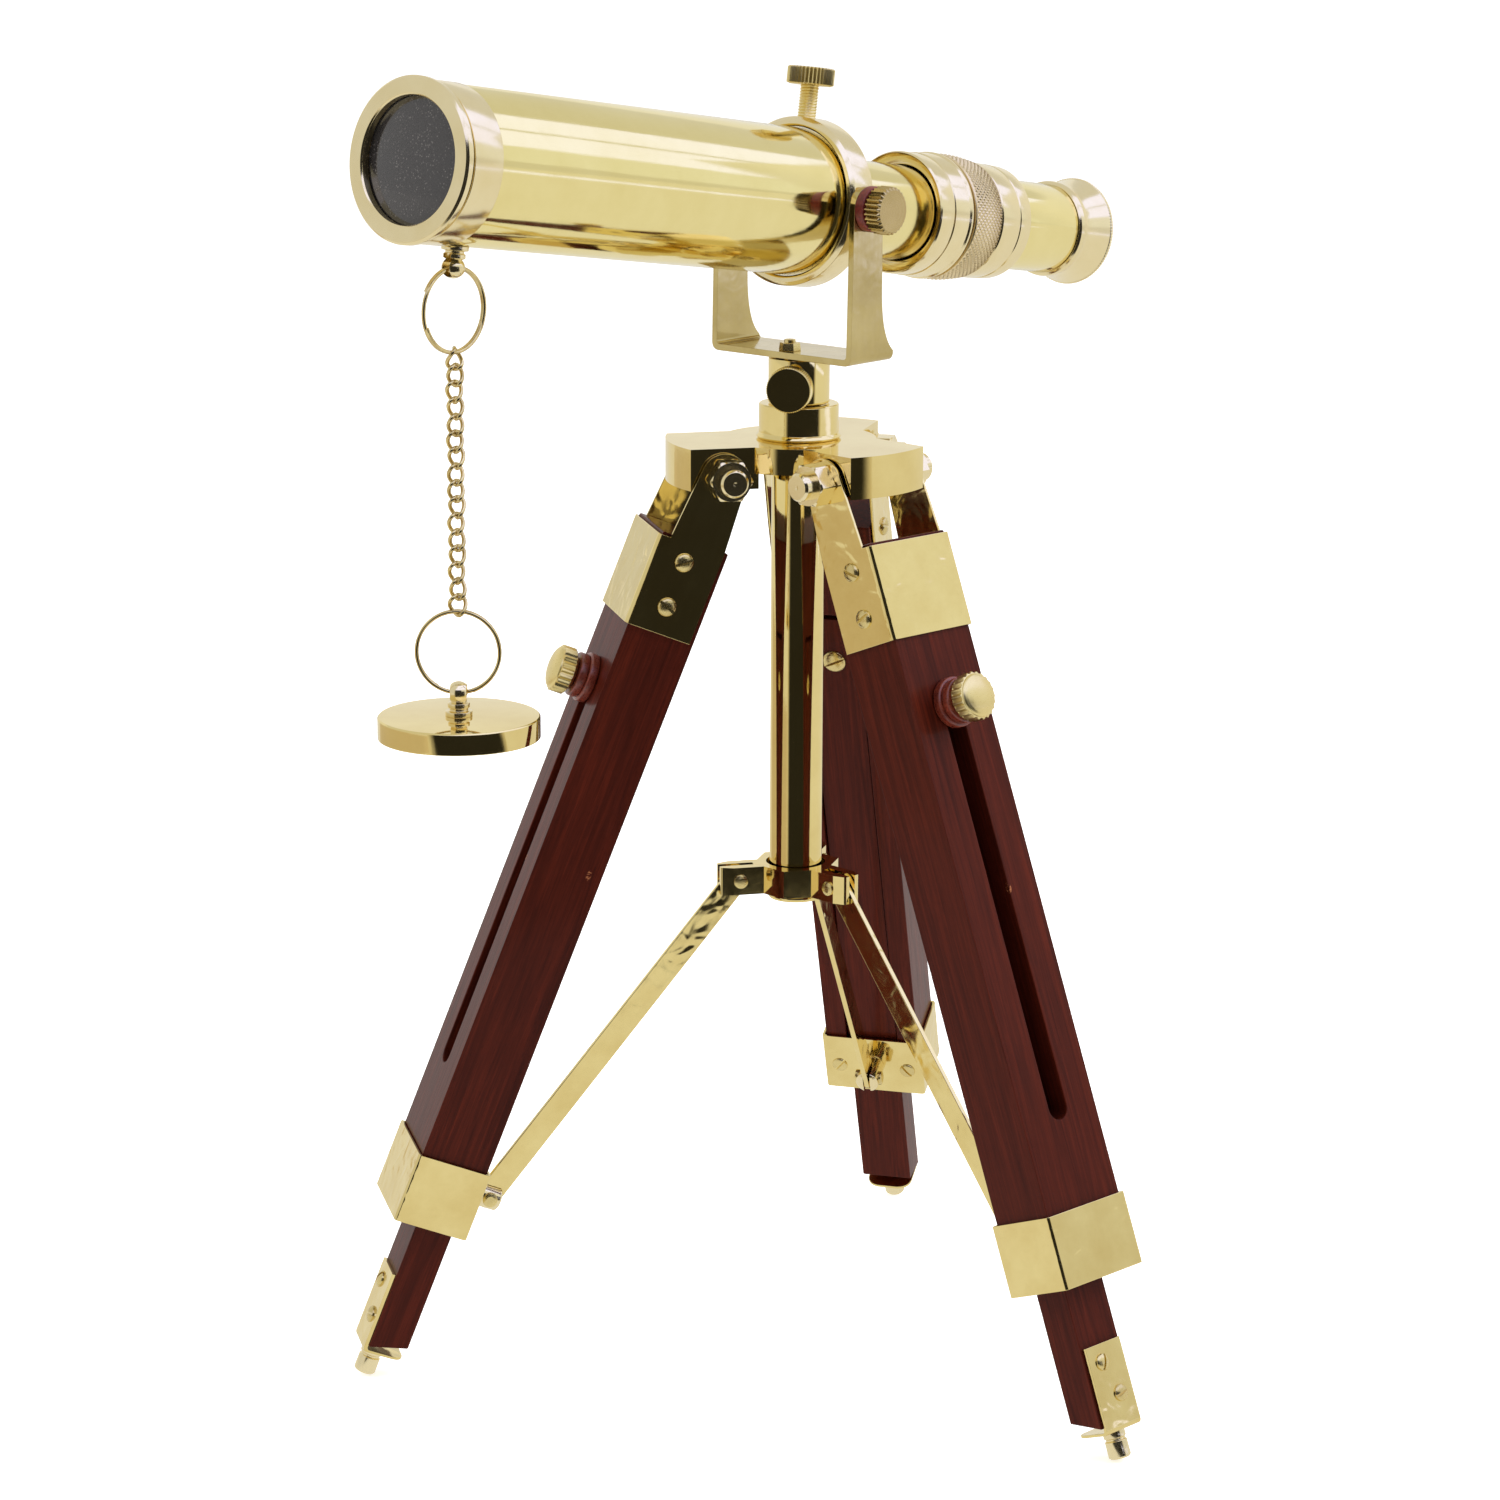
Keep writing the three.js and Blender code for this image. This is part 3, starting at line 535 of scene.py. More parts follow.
def lacquered_wood():
    """Mahogany-stained wood under gloss lacquer, with its grain along the z axis."""
    nodes = Nodes("mahogany")
    own = nodes.own
    grain = nodes.noise(nodes.scaled(own, 0.5, 0.5, 0.018), 1.0, 6.0, 0.6, 1.2)
    fibres = nodes.noise(nodes.scaled(own, 4.0, 4.0, 0.09), 1.0, 5.0, 0.7)
    pores = nodes.noise(nodes.scaled(own, 9.0, 9.0, 0.35), 1.0, 3.0, 0.6)
    dark = (0.038, 0.0058, 0.0030, 1)
    red = (0.088, 0.0120, 0.0050, 1)
    base = nodes.mix(nodes.spread(grain, 0.32, 0.68), dark, red)
    streaked = nodes.mix(nodes.spread(fibres, 0.45, 0.70, 0.0, 0.6), base, (0.030, 0.005, 0.003, 1))
    pored = nodes.mix(nodes.spread(pores, 0.62, 0.72, 0.0, 0.7), streaked, (0.010, 0.003, 0.002, 1))
    height = nodes.math("ADD", nodes.math("MULTIPLY", fibres, 0.6), nodes.math("MULTIPLY", pores, -0.5))
    chip = nodes.spread(nodes.cells(nodes.scaled(own, 1, 1, 0.5), 0.07), 0.045, 0.06, 1.0, 0.0)
    torn = nodes.spread(nodes.noise(own, 1.1, 4.0, 0.7), 0.50, 0.56)
    worn = nodes.mix(nodes.math("MULTIPLY", chip, torn), pored, (0.34, 0.12, 0.05, 1))
    nodes.set(
        Base_Color=worn, Roughness=nodes.spread(fibres, 0.3, 0.7, 0.30, 0.46),
        Normal=nodes.bump(height, 0.35, 0.00005),
    )
    nodes.set(Specular_IOR_Level=0.04, Coat_Weight=0.4, Coat_Roughness=0.1, Coat_IOR=1.22)
    return nodes.material


def red_fibre():
    """Vulcanised fibre washers: matt, mottled dark red."""
    nodes = Nodes("red_fibre")
    own = nodes.own
    speck = nodes.noise(own, 1.6, 6.0, 0.7)
    base = nodes.mix(nodes.spread(speck, 0.35, 0.7), (0.085, 0.006, 0.005, 1), (0.22, 0.028, 0.016, 1))
    nodes.set(
        Base_Color=base,
        Roughness=nodes.spread(speck, 0.3, 0.7, 0.32, 0.5),
        Normal=nodes.bump(speck, 0.3, 0.00008),
    )
    return nodes.material


def stained_washer():
    """Glossy red-brown washers, with rings round them."""
    nodes = Nodes("stained_washer")
    own = nodes.own
    rings = nodes.noise(nodes.round_axis(own), 1.6, 5.0, 0.7)
    mottle = nodes.noise(own, 0.35, 4.0, 0.6)
    base = nodes.mix(nodes.spread(rings, 0.35, 0.65), (0.11, 0.015, 0.008, 1), (0.23, 0.040, 0.017, 1))
    nodes.set(
        Base_Color=nodes.mix(nodes.spread(mottle, 0.4, 0.7, 0.0, 0.8), base, (0.085, 0.012, 0.007, 1)),
        Roughness=nodes.spread(rings, 0.3, 0.7, 0.22, 0.4), Normal=nodes.bump(rings, 0.35, 0.00006),
    )
    nodes.set(Coat_Weight=0.35, Coat_Roughness=0.1)
    return nodes.material


def lens_glass(name, colour, dust):
    """Glass over a dark interior, with specks of dust on it."""
    nodes = Nodes(name)
    own = nodes.own
    speck = nodes.spread(nodes.cells(own, 1.25), 0.05, 0.34, 1.0, 0.0)
    chance = nodes.spread(nodes.noise(own, 0.30, 4.0), 0.40, 0.56)
    dusty = nodes.math("MULTIPLY", speck, chance)
    haze = nodes.noise(own, 2.6, 5.0, 0.7)
    hazy = tuple(c * 1.7 for c in colour[:3]) + (1,)
    base = nodes.mix(nodes.spread(haze, 0.3, 0.7), colour, hazy)
    nodes.set(
        Base_Color=nodes.mix(nodes.math("MULTIPLY", dusty, dust), base, (0.17, 0.155, 0.145, 1)),
        Roughness=nodes.spread(haze, 0.3, 0.7, 0.05, 0.16),
        Normal=nodes.bump(dusty, 0.25, 0.00005),
    )
    nodes.set(IOR=1.5, Specular_IOR_Level=0.5, Coat_Weight=0.6, Coat_Roughness=0.04)
    return nodes.material


PALE = (0.94, 0.82, 0.39, 1)
PALE_DEEP = (0.89, 0.76, 0.33, 1)
WARM = (0.93, 0.81, 0.50, 1)
WARM_DEEP = (0.87, 0.73, 0.40, 1)
STAND = (0.90, 0.75, 0.34, 1)
STAND_DEEP = (0.80, 0.63, 0.25, 1)
OLIVE = (0.64, 0.52, 0.23, 1)
OLIVE_DEEP = (0.50, 0.39, 0.15, 1)
TUBE_BRASS = brass("tube_brass", PALE, PALE_DEEP, 0.055, 0.12, (0.04, 1.2, 1.2))
DRAW_BRASS = brass("draw_brass", PALE, PALE_DEEP, 0.07, 0.14, (0.05, 1.4, 1.4))
TURNED = turned_brass("turned_brass", WARM, WARM_DEEP, 0.10, 0.22)
SATIN_TURNED = turned_brass("satin_turned_brass", STAND, STAND_DEEP, 0.24, 0.38, 0.3)
KNOB_BRASS = turned_brass("knob_brass", (0.62, 0.48, 0.22, 1), (0.50, 0.37, 0.15, 1), 0.18, 0.32, 0.35)
SHEET_BRASS = brass("sheet_brass", STAND, STAND_DEEP, 0.05, 0.13, (0.5, 1.2, 0.08), 0.0, 0.07, 30.0)
MIRROR_BRASS = brass("mirror_brass", STAND, STAND_DEEP, 0.035, 0.09, (0.3, 0.3, 0.3), 0.0, 0.04)
PITTED_BRASS = brass("pitted_brass", WARM, WARM_DEEP, 0.10, 0.20, (0.6, 0.6, 0.6), 0.5, 0.08)
SATIN_BRASS = brass("satin_brass", OLIVE, OLIVE_DEEP, 0.08, 0.17, (0.9, 0.9, 0.05), 0.0, 0.07, 8.0)
KNURLED = knurled_brass("knurled_brass", 16.6, 17.6)
SCREW_BRASS = turned_brass("screw_brass", STAND, (0.55, 0.42, 0.17, 1), 0.16, 0.34, 0.3)
WIRE_BRASS = brass(
    "wire_brass", (0.84, 0.69, 0.35, 1), (0.56, 0.43, 0.18, 1), 0.10, 0.22, (0.8, 0.8, 0.8), 0.0, 0.2,
)
WOOD = lacquered_wood()
FIBRE = red_fibre()
STAINED = stained_washer()
LENS = lens_glass("objective_glass", (0.022, 0.020, 0.020, 1), 0.8)
INNER_LENS = lens_glass("inner_glass", (0.03, 0.035, 0.04, 1), 0.2)

# ------------------------------------------------------------------ reliefs
def straight_knurl(teeth, depth, low, high, fade=0.4, inner=3.0):
    """Teeth along the axis between two stations, fading out at both ends, where the radius is over inner."""
    def relief(station, radius, angles):
        edge = min(station - low, high - station)
        if edge < 0 or radius < inner:
            return np.full(len(angles), radius)
        wave = np.abs(((angles * teeth / (2 * math.pi)) % 1.0) - 0.5) * 2
        return radius - depth * min(1.0, edge / fade + 0.35) * np.clip(1.3 * wave - 0.15, 0, 1)
    return relief


def threaded(radius, low, high, pitch=0.8, depth=0.28, sides=32, steps=8):
    """A screw thread along x between two stations, as its own closed mesh."""
    rows = int((high - low) / pitch * steps)
    vertices = []
    for row in range(rows + 1):
        station = low + (high - low) * row / rows
        for side in range(sides):
            phase = (station / pitch - side / sides) % 1.0
            r = radius - depth * (1 - abs(2 * phase - 1))
            a = 2 * math.pi * side / sides
            vertices.append((station, r * math.cos(a), r * math.sin(a)))
    return wound("thread", vertices, sides)


def slotted_head(radius, height, slot_width=0.95, turn=0.0):
    """A round screw head along +x from x = 0, with its slot across it."""
    profile = [(-0.6, 0), (-0.6, radius * 0.8), (-0.02, radius), (0.15, radius)]
    rise = height - 0.15
    dome = [math.radians(a) for a in range(15, 91, 15)]
    profile += [(0.15 + rise * math.sin(a), radius * math.cos(a)) for a in dome]
    head = lathe(profile, "x", 40, 0.08)
    floor_of_slot = height - 0.9
    reach = radius * 1.2
    slot = box(floor_of_slot, height + 1, -reach, reach, -slot_width / 2, slot_width / 2)
    slot.transform(Matrix.Rotation(math.radians(turn), 4, "X"))
    return boolean(head, [slot])


# ------------------------------------------------------------------ the telescope
def telescope_pieces():
    def tube_piece(name, mesh, body, material, node, sharp=SHARP):
        add_piece(name, mesh, TUBE, body, material, node, sharp)

    bezel = [
        (-148.1, 16.06), (-150.1, 16.06), (-150.5, 16.5), (-150.5, 20.2), (-149.9, 20.85), (-148.3, 20.85),
        (-148.3, 19.85), (-147.5, 19.85), (-147.5, 18), (-148.1, 18),
    ]
    tube_piece("bezel", lathe(bezel, "x", 160, 0.22, True), "main_tube", TURNED, "objective_bezel")
    bulge = [(-147.6 - 1.6 * (1 - (k / 12) ** 2), 17.4 * k / 12) for k in range(12)]
    lens = bulge + [(-147.6, 17.4), (-145.4, 17.4), (-144.2, 8.7), (-143.8, 0)]
    tube_piece("lens", lathe(lens, "x", 96, 0.05), "main_tube", LENS, "objective_lens")
    cell = [
        (-147.2, 17.7), (-147.2, 20.3), (TUBE_FRONT - 0.05, 20.3), (TUBE_FRONT - 0.05, 18.5), (-129, 18.5),
        (-129, 16.2), (-145, 16.2), (-145, 17.7),
    ]
    tube_piece("cell", lathe(cell, "x", 160, 0.18, True), "main_tube", TURNED, "objective_cell")
    barrel = pipe(TUBE_FRONT, TUBE_REAR, 18.8, TUBE_RADIUS)
    tube_piece("barrel", lathe(barrel, "x", 192, 0.12, True), "main_tube", TUBE_BRASS, "main_tube")
    bush = [(-10, 13.6), (-10, 18.5), (6.8, 18.5), (6.8, 19.6), (8.2, 19.6), (8.2, 13.6)]
    tube_piece("bush", lathe(bush, "x", 128, 0.2, True), "main_tube", TURNED, "rear_bush")

    ring = [
        (-4.5, 20.9), (-4.5, 22.0), (-3.4, RING_RADIUS), (4.2, RING_RADIUS), (4.5, RING_RADIUS - 0.3),
        (4.5, 20.3), (-3.7, 20.3),
    ]
    tube_piece("ring", lathe(ring, "x", 160, 0.25, True), "clamp", PITTED_BRASS, "clamp_ring")

    draw = pipe(-45, 46, 12.3, DRAW_RADIUS)
    tube_piece("draw", lathe(draw, "x", 144, 0.1, True), "draw_tube", DRAW_BRASS, "draw_tube")
    erector = [(-42.5, 0), (-43.1, 4), (-44, 7), (-44, 12), (-20, 12), (-20, 7), (-20.9, 4), (-21.5, 0)]
    cell_mesh = lathe(erector, "x", 64, 0.1)
    tube_piece("erector", cell_mesh, "draw_tube", INNER_LENS, "erector_cell")
    cove = [math.radians(90 * k / 8) for k in range(9)]
    lip = [(41.9 + 2.4 * math.cos(t), 13.62 + 3.1 * math.sin(t)) for t in cove]
    collar = lip + [
        (42.6, 17.15), (48.0, 17.2), (48.15, 17.0), (48.35, 17.0), (48.5, 17.35), (54.6, 17.5), (55.2, 17.9),
        (55.9, 17.9), (55.9, 14.8), (71.2, 14.8), (71.2, 13.62),
    ]
    tube_piece("collar", lathe(collar, "x", 160, 0.12, True), "draw_tube", TURNED, "draw_collar")
    end = [
        (71.5, 13.3), (71.5, 16.1), (71.9, 16.5), (79.6, 16.4), (79.8, 16.15), (80.2, 16.15), (80.4, 16.4),
        (85.2, 16.2), (85.8, 15.7), (85.8, 13.3),
    ]
    tube_piece("end", lathe(end, "x", 144, 0.15, True), "draw_tube", TURNED, "end_ring")
    tube_piece("focus", focus_ring_mesh(), "focus_ring", KNURLED, "focus_ring", KNURL_SHARP)
    eyepiece = pipe(62, 112.7, 11.9, 12.9)
    tube_piece("eyepiece", lathe(eyepiece, "x", 144, 0.1, True), "eyepiece", DRAW_BRASS, "eyepiece_tube")
    tube_piece("cup", eye_cup_mesh(), "eyepiece", TURNED, "eye_cup")
    for node, station in (("field_lens", 68.0), ("eye_lens", 108.0)):
        lens = [(station - 2.6, 0), (station - 2.2, 5.5), (station - 1.2, 11.5), (station + 1.2, 11.5)]
        lens += [(station + 2.2, 5.5), (station + 2.6, 0)]
        glass = lathe(lens, "x", 64, 0.1)
        tube_piece(node + "_glass", glass, "eyepiece", INNER_LENS, node)


def focus_ring_mesh():
    """A barrel-shaped ring with crossed knurling, between two plain edges."""
    low, high, bore = 57.5, 70.9, 15.1
    teeth = 70
    middle = 17.75
    steps = 84
    sides = teeth * 8
    pitch = 2 * math.pi * 17.5 / teeth
    band_low, band_high = low + 0.5, high - 0.5
    outline = [(low, bore), (low, 17.3), (low + 0.3, middle)]
    for step in range(steps + 1):
        t = step / steps
        station = band_low + (band_high - band_low) * t
        outline.append((station, middle + 0.25 * math.sin(math.pi * min(1, t * 1.6) / 2) - 1.0 * t ** 2.2))
    outline += [(high - 0.25, 16.75), (high, 16.5), (high, bore)]

    def relief(station, radius, angles):
        edge = min(station - band_low, band_high - station)
        if edge < 0 or radius < bore + 0.5:
            return np.full(len(angles), radius)
        along = (station - low) / pitch
        around = angles * teeth / (2 * math.pi)
        one = np.abs(((around + along * 0.9) % 1.0) - 0.5) * 2
        two = np.abs(((around - along * 0.9) % 1.0) - 0.5) * 2
        groove = np.maximum(np.clip(one * 2 - 1, 0, 1), np.clip(two * 2 - 1, 0, 1))
        return radius - 0.5 * min(1.0, edge / 0.3) * groove

    return lathe(outline, "x", sides, 0, True, relief)


def eye_cup_mesh():
    """A bell with a rounded front lip and a finely milled rear edge."""
    bell = [(116.6 + 9.0 * k / 10, 13.55 + 1.75 * (k / 10) ** 1.7) for k in range(11)]
    outline = [(113, 11.95), (113, 13.1), (113.5, 13.75), (114.6, 13.95), (115.6, 13.7)] + bell
    outline += [(125.75, 15.6), (126.6, 15.6), (126.7, 14.4), (124.5, 13.4), (121, 12.4), (117.5, 7.0)]
    outline += [(115.5, 5.0), (113, 5.0)]
    return lathe(outline, "x", 660, 0.08, True, straight_knurl(110, 0.22, 125.65, 126.75, 0.05, 15.0))


def knurled_screw(tip, under_head, end, shank, head, teeth, depth, rim=0.5):
    """A thumbscrew along +x: a threaded shank, and a toothed head whose face is narrower by its rim."""
    profile = [
        (under_head, 0), (under_head, head - 1.0), (under_head + 0.35, head), (end - rim * 0.7, head),
        (end, head - rim), (end, 0),
    ]
    relief = straight_knurl(teeth, depth, under_head + 0.1, end - 0.05, 0.15, head - rim * 0.8)
    head_mesh = lathe(profile, "x", teeth * 8, 0.1, False, relief)
    return together(head_mesh, threaded(shank, tip, under_head + 0.2))


def clamp_screw_piece():
    screw = knurled_screw(TUBE_RADIUS + 0.6, 31.7, 36.5, 2.6, 6.5, 36, 0.6, 0.4)
    screw.transform(Matrix.Rotation(-math.pi / 2, 4, "Y"))
    add_piece("top_thumbscrew", screw, TUBE, "clamp_screw", SATIN_TURNED, "clamp_screw")


# ------------------------------------------------------------------ yoke and its screws
def yoke_piece():
    inner = YOKE_HALF - STRAP
    arm_top = PIVOT_HEIGHT + ARM_RADIUS + 1
    outside = [(-YOKE_HALF, arm_top), (-YOKE_HALF, YOKE_BASE), (YOKE_HALF, YOKE_BASE), (YOKE_HALF, arm_top)]
    inside = [(inner, arm_top), (inner, YOKE_BASE + STRAP), (-inner, YOKE_BASE + STRAP), (-inner, arm_top)]
    across = rounded(outside, 2.6, False, 8) + rounded(inside, 1.2, False, 6)
    front, rear = -8.1, 10.2
    arm = PIVOT_OFFSET + ARM_RADIUS
    strap_top = YOKE_BASE + STRAP
    along = [(front, YOKE_BASE - 1), (rear, YOKE_BASE - 1), (rear, strap_top + 1)]
    for step in range(1, 13):
        t = step / 12
        along.append((
            (1 - t) ** 2 * rear + 2 * t * (1 - t) * arm + t * t * arm,
            (1 - t) ** 2 * (strap_top + 1) + 2 * t * (1 - t) * (strap_top + 5) + t * t * (strap_top + 18),
        ))
    along += arc(PIVOT_OFFSET, PIVOT_HEIGHT, ARM_RADIUS, 0, 180, 24)
    strap = boolean(prism(across, front, rear, "x"), [prism(along, -40, 40, "y")], "INTERSECT")
    strap = bevelled(strap, 0.22, 2, 40)
    add_piece("yoke_strap", strap, HEAD, "yoke", SATIN_BRASS, "yoke", FLAT_SHARP)


def sleeve_and_screws():
    sleeve = [(284.7, 0), (284.7, 6.3), (274.5, 6.3), (274.5, 8.5), (286.9, 8.5), (286.9, 0)]
    add_piece("rotating_sleeve", lathe(sleeve, "z", 96, 0.3), HEAD, "yoke", MIRROR_BRASS, "yoke_sleeve")
    nut = lathe([(YOKE_BASE + STRAP, 0), (YOKE_BASE + STRAP, 3.1), (291.3, 2.8), (291.3, 0)], "z", 6, 0.2)
    stub = lathe([(285.2, 0), (285.2, 1.6), (292.2, 1.6), (292.4, 0)], "z", 24, 0.2)
    screw = moved(together(nut, stub), -4)
    add_piece("base_screw", screw, HEAD, "yoke", SCREW_BRASS, "yoke_screw")

    place = upright_frame(*joint_place("azimuth_screw_turn"))
    screw = knurled_screw(6.3, 12.0, 17.0, 2.0, 6.3, 64, 0.25, 0.35)
    add_piece("azimuth_thumbscrew", screw, place, "azimuth_screw", MIRROR_BRASS, "azimuth_screw")
    for name in ("far", "near"):
        node = "pivot_knob_" + name
        place = upright_frame(*joint_place(node + "_turn"))
        knob = knurled_screw(21.0, 28.3, 33.5, 2.0, 6.5, 28, 0.8, 0.9)
        add_piece(name + "_pivot_knob", knob, place, node, KNOB_BRASS, node)
        washer = lathe(pipe(25.15, 28, 2.3, 6.2), "x", 64, 0.35, True)
        stand_in = "pivot_washer_" + name
        add_piece(name + "_pivot_washer", washer, place, "yoke", FIBRE, stand_in)


# ------------------------------------------------------------------ hub, socket and column
def lobe_angles():
    hinges = [joint_place("leg_fold_" + name)[0] - TRIPOD_ORIGIN for name in LEG_NAMES]
    return [math.atan2(hinge.y, hinge.x) for hinge in hinges]


def round_the_column(mesh):
    """Copies of a mesh, each turned from +x towards a leg."""
    return [copy_of(mesh, Matrix.Rotation(angle, 4, "Z")) for angle in lobe_angles()]


def hub_piece():
    disc_radius, web_radius, lobe_half = 37.0, 21.5, 14.2
    underside, web_underside = 253.0, 257.3
    half_angle = math.degrees(math.asin(lobe_half / disc_radius))
    root_x = math.sqrt(web_radius ** 2 - lobe_half ** 2)
    root_angle = math.degrees(math.atan2(lobe_half, root_x))
    outline = []
    for angle in sorted(lobe_angles()):
        turn = math.degrees(angle)
        outline += arc(0, 0, disc_radius, turn - half_angle, turn + half_angle, 24)
        outline += arc(0, 0, web_radius, turn + root_angle, turn + 120 - root_angle, 20)
    body = prism(outline, web_underside, PLATE_TOP, "z")
    tongue = [(15.0, -lobe_half)] + arc(0, 0, disc_radius, -half_angle, half_angle, 24) + [(15.0, lobe_half)]
    lobes = round_the_column(prism(tongue, underside, PLATE_TOP - 2, "z"))
    body = bevelled(boolean(body, lobes, "UNION"), 0.28, 3, 40)
    add_piece("hub", body, TRIPOD, "tripod", MIRROR_BRASS, "hub_plate", FLAT_SHARP)


def column_pieces():
    foot = PLATE_TOP
    socket = [
        (foot, 7.6), (foot, 11.3), (foot + 0.7, 11.85), (foot + 1.5, 11.3), (foot + 1.7, 11.1),
        (foot + 9.4, 11.1), (foot + 9.7, 10.8), (foot + 9.7, 7.6),
    ]
    socket_mesh = lathe(socket, "z", 128, 0.25, True)
    add_piece("column_socket", socket_mesh, TRIPOD, "tripod", MIRROR_BRASS, "socket")
    column = [
        (258, 0), (258, 6.2), (COLUMN_BOTTOM, 6.2), (COLUMN_BOTTOM, 7.6), (COLUMN_BOTTOM + 0.8, 7.9),
        (COLUMN_BOTTOM + 1.7, 7.6), (COLUMN_BOTTOM + 2, COLUMN_RADIUS), (274.1, COLUMN_RADIUS),
        (274.1, 6), (284.3, 6), (284.3, 0),
    ]
    add_piece("column", lathe(column, "z", 128, 0.2), TRIPOD, "tripod", MIRROR_BRASS, "centre_column")


# ------------------------------------------------------------------ lens cap and its chain
def pierced_stud(hole):
    """A flange, a short body and a ball with a hole through it. The ball's middle is at the origin."""
    reach = CAP_BELOW_BALL
    profile = [
        (-reach, 0), (-reach, 3.5), (-reach + 1.25, 3.5), (-reach + 1.5, 2.4), (-reach + 2.0, 2.4),
        (-reach + 2.3, 2.85), (-reach + 3.4, 2.85),
    ]
    profile += [(3 * math.sin(math.radians(a)), 3 * math.cos(math.radians(a))) for a in range(-48, 90, 8)]
    profile += [(3, 0)]
    return boolean(lathe(profile, "z", 64, 0.12), [hole])


def stud_piece():
    """The stud under the tube, with its hole opened to every lean of the ring that hangs plumb from it."""
    rise = 5 * math.tan(math.radians(RING_LEAN))
    throat = 1.25
    open_half = throat + rise
    bow = [(-5, open_half), (0, throat), (5, open_half), (5, -open_half), (0, -throat), (-5, -open_half)]
    stud = pierced_stud(prism(bow, -1.25, 1.25))
    stud.transform(Matrix.Rotation(math.pi, 4, "X"))
    stud.transform(Matrix.Scale((STUD_DROP - TUBE_RADIUS + 0.2) / CAP_BELOW_BALL, 4, (0, 0, 1)))
    stud = moved(stud, STUD_STATION, 0, -STUD_DROP)
    add_piece("tube_stud", stud, TUBE, "main_tube", TURNED, "cap_stud")


def split_ring_mesh(start, turns=1.86):
    """A wire coil of nearly two turns in the XZ plane, which lie side by side."""
    steps = 150
    path = []
    for step in range(steps + 1):
        t = step / steps
        angle = math.radians(start) + 2 * math.pi * turns * t
        path.append((LOOP * math.cos(angle), (t - 0.5) * 2 * WIRE * 1.05, LOOP * math.sin(angle)))
    return swept(path, WIRE, 14)


def link_mesh(inner, width, wire):
    """One curb link along z: an oval of wire, twisted so that it lies against its neighbours."""
    steps = 56
    half_length = inner / 2 + wire
    half_width = width / 2 - wire
    path = []
    for step in range(steps):
        angle = 2 * math.pi * step / steps
        x = half_width * math.sin(angle) * (1 + 0.10 * math.cos(2 * angle))
        z = half_length * math.cos(angle)
        twist = math.radians(LINK_TWIST) * z / half_length
        path.append((x * math.cos(twist), x * math.sin(twist) + 0.9 * wire * math.sin(2 * angle), z))
    return swept(path, wire, 10, True)


def chain_piece():
    links = 16
    wire = 0.54
    inner = (CHAIN_REACH + 2 * WIRE) / links
    top = -2 * LOOP + WIRE
    meshes = []
    for index in range(links):
        link = link_mesh(inner, 5.0 if index < links - 1 else 5.6, wire)
        wander = math.radians(-50 + 9 * math.sin(1.9 * index) + (35 if index == 0 else 0))
        turn = Matrix.Rotation(wander, 4, "Z")
        meshes.append(moved(link, 0.25 * math.sin(2.3 * index), 0, top - inner * (index + 0.5), turn))
    add_piece("curb_chain", together(*meshes), HANGER, "cap_chain", WIRE_BRASS, "cap_chain", WIRE_SHARP)


def cap_pieces():
    upper = moved(split_ring_mesh(200), 0, 0, -LOOP)
    add_piece("upper_ring", upper, HANGER, "upper_ring", WIRE_BRASS, "upper_split_ring", WIRE_SHARP)
    chain_piece()
    lower_origin = joint_place("lower_ring_swing")[0] - Vector((0, 0, LOOP * MM))
    flat = upright_frame(lower_origin, LOWER_RING_TANGENT)
    lower = split_ring_mesh(-60)
    add_piece("lower_ring", lower, flat, "lower_ring", WIRE_BRASS, "lower_split_ring", WIRE_SHARP)
    place = upright_frame(joint_place("cap_swing")[0], LOWER_RING_TANGENT)
    top = -CAP_BELOW_BALL
    wall = 0.9
    cap = [
        (top - 1.2, 0), (top - 1.2, CAP_RADIUS - wall), (top - CAP_DEPTH, CAP_RADIUS - wall),
        (top - CAP_DEPTH, CAP_RADIUS), (top - 0.35, CAP_RADIUS), (top, CAP_RADIUS - 0.35), (top, 0),
    ]
    disc = lathe(cap, "z", 160, 0.18)
    add_piece("cap_shell", disc, place, "lens_cap", MIRROR_BRASS, "lens_cap")
    hole = lathe([(-5, 0), (-5, 3.3), (0, 1.3), (5, 3.3), (5, 0)], "x", 24, 0)
    add_piece("cap_knob", pierced_stud(hole), place, "lens_cap", TURNED)


# ------------------------------------------------------------------ legs
def upper_leg_mesh():
    log = box(WOOD_INNER, WOOD_OUTER, -WOOD_HALF, WOOD_HALF, -226, -19.5)
    half = SLIDER_HALF + GAP
    channel = box(WOOD_INNER - 2, SLIDER_OUTER + GAP, -half, half, -230, -50)
    slot_top = -CLAMP_STATION + 2.3
    slot_end = -CLAMP_STATION - CLAMP_TRAVEL - 2.3
    slot_half = 3.4
    outline = arc(0, slot_top - slot_half, slot_half, 0, 180, 10)
    outline += arc(0, slot_end + slot_half, slot_half, 180, 360, 10)
    slot = prism(outline, 0, WOOD_OUTER + 2, "x")
    return bevelled(boolean(boolean(log, [channel]), [slot]), 0.45, 2, 50)


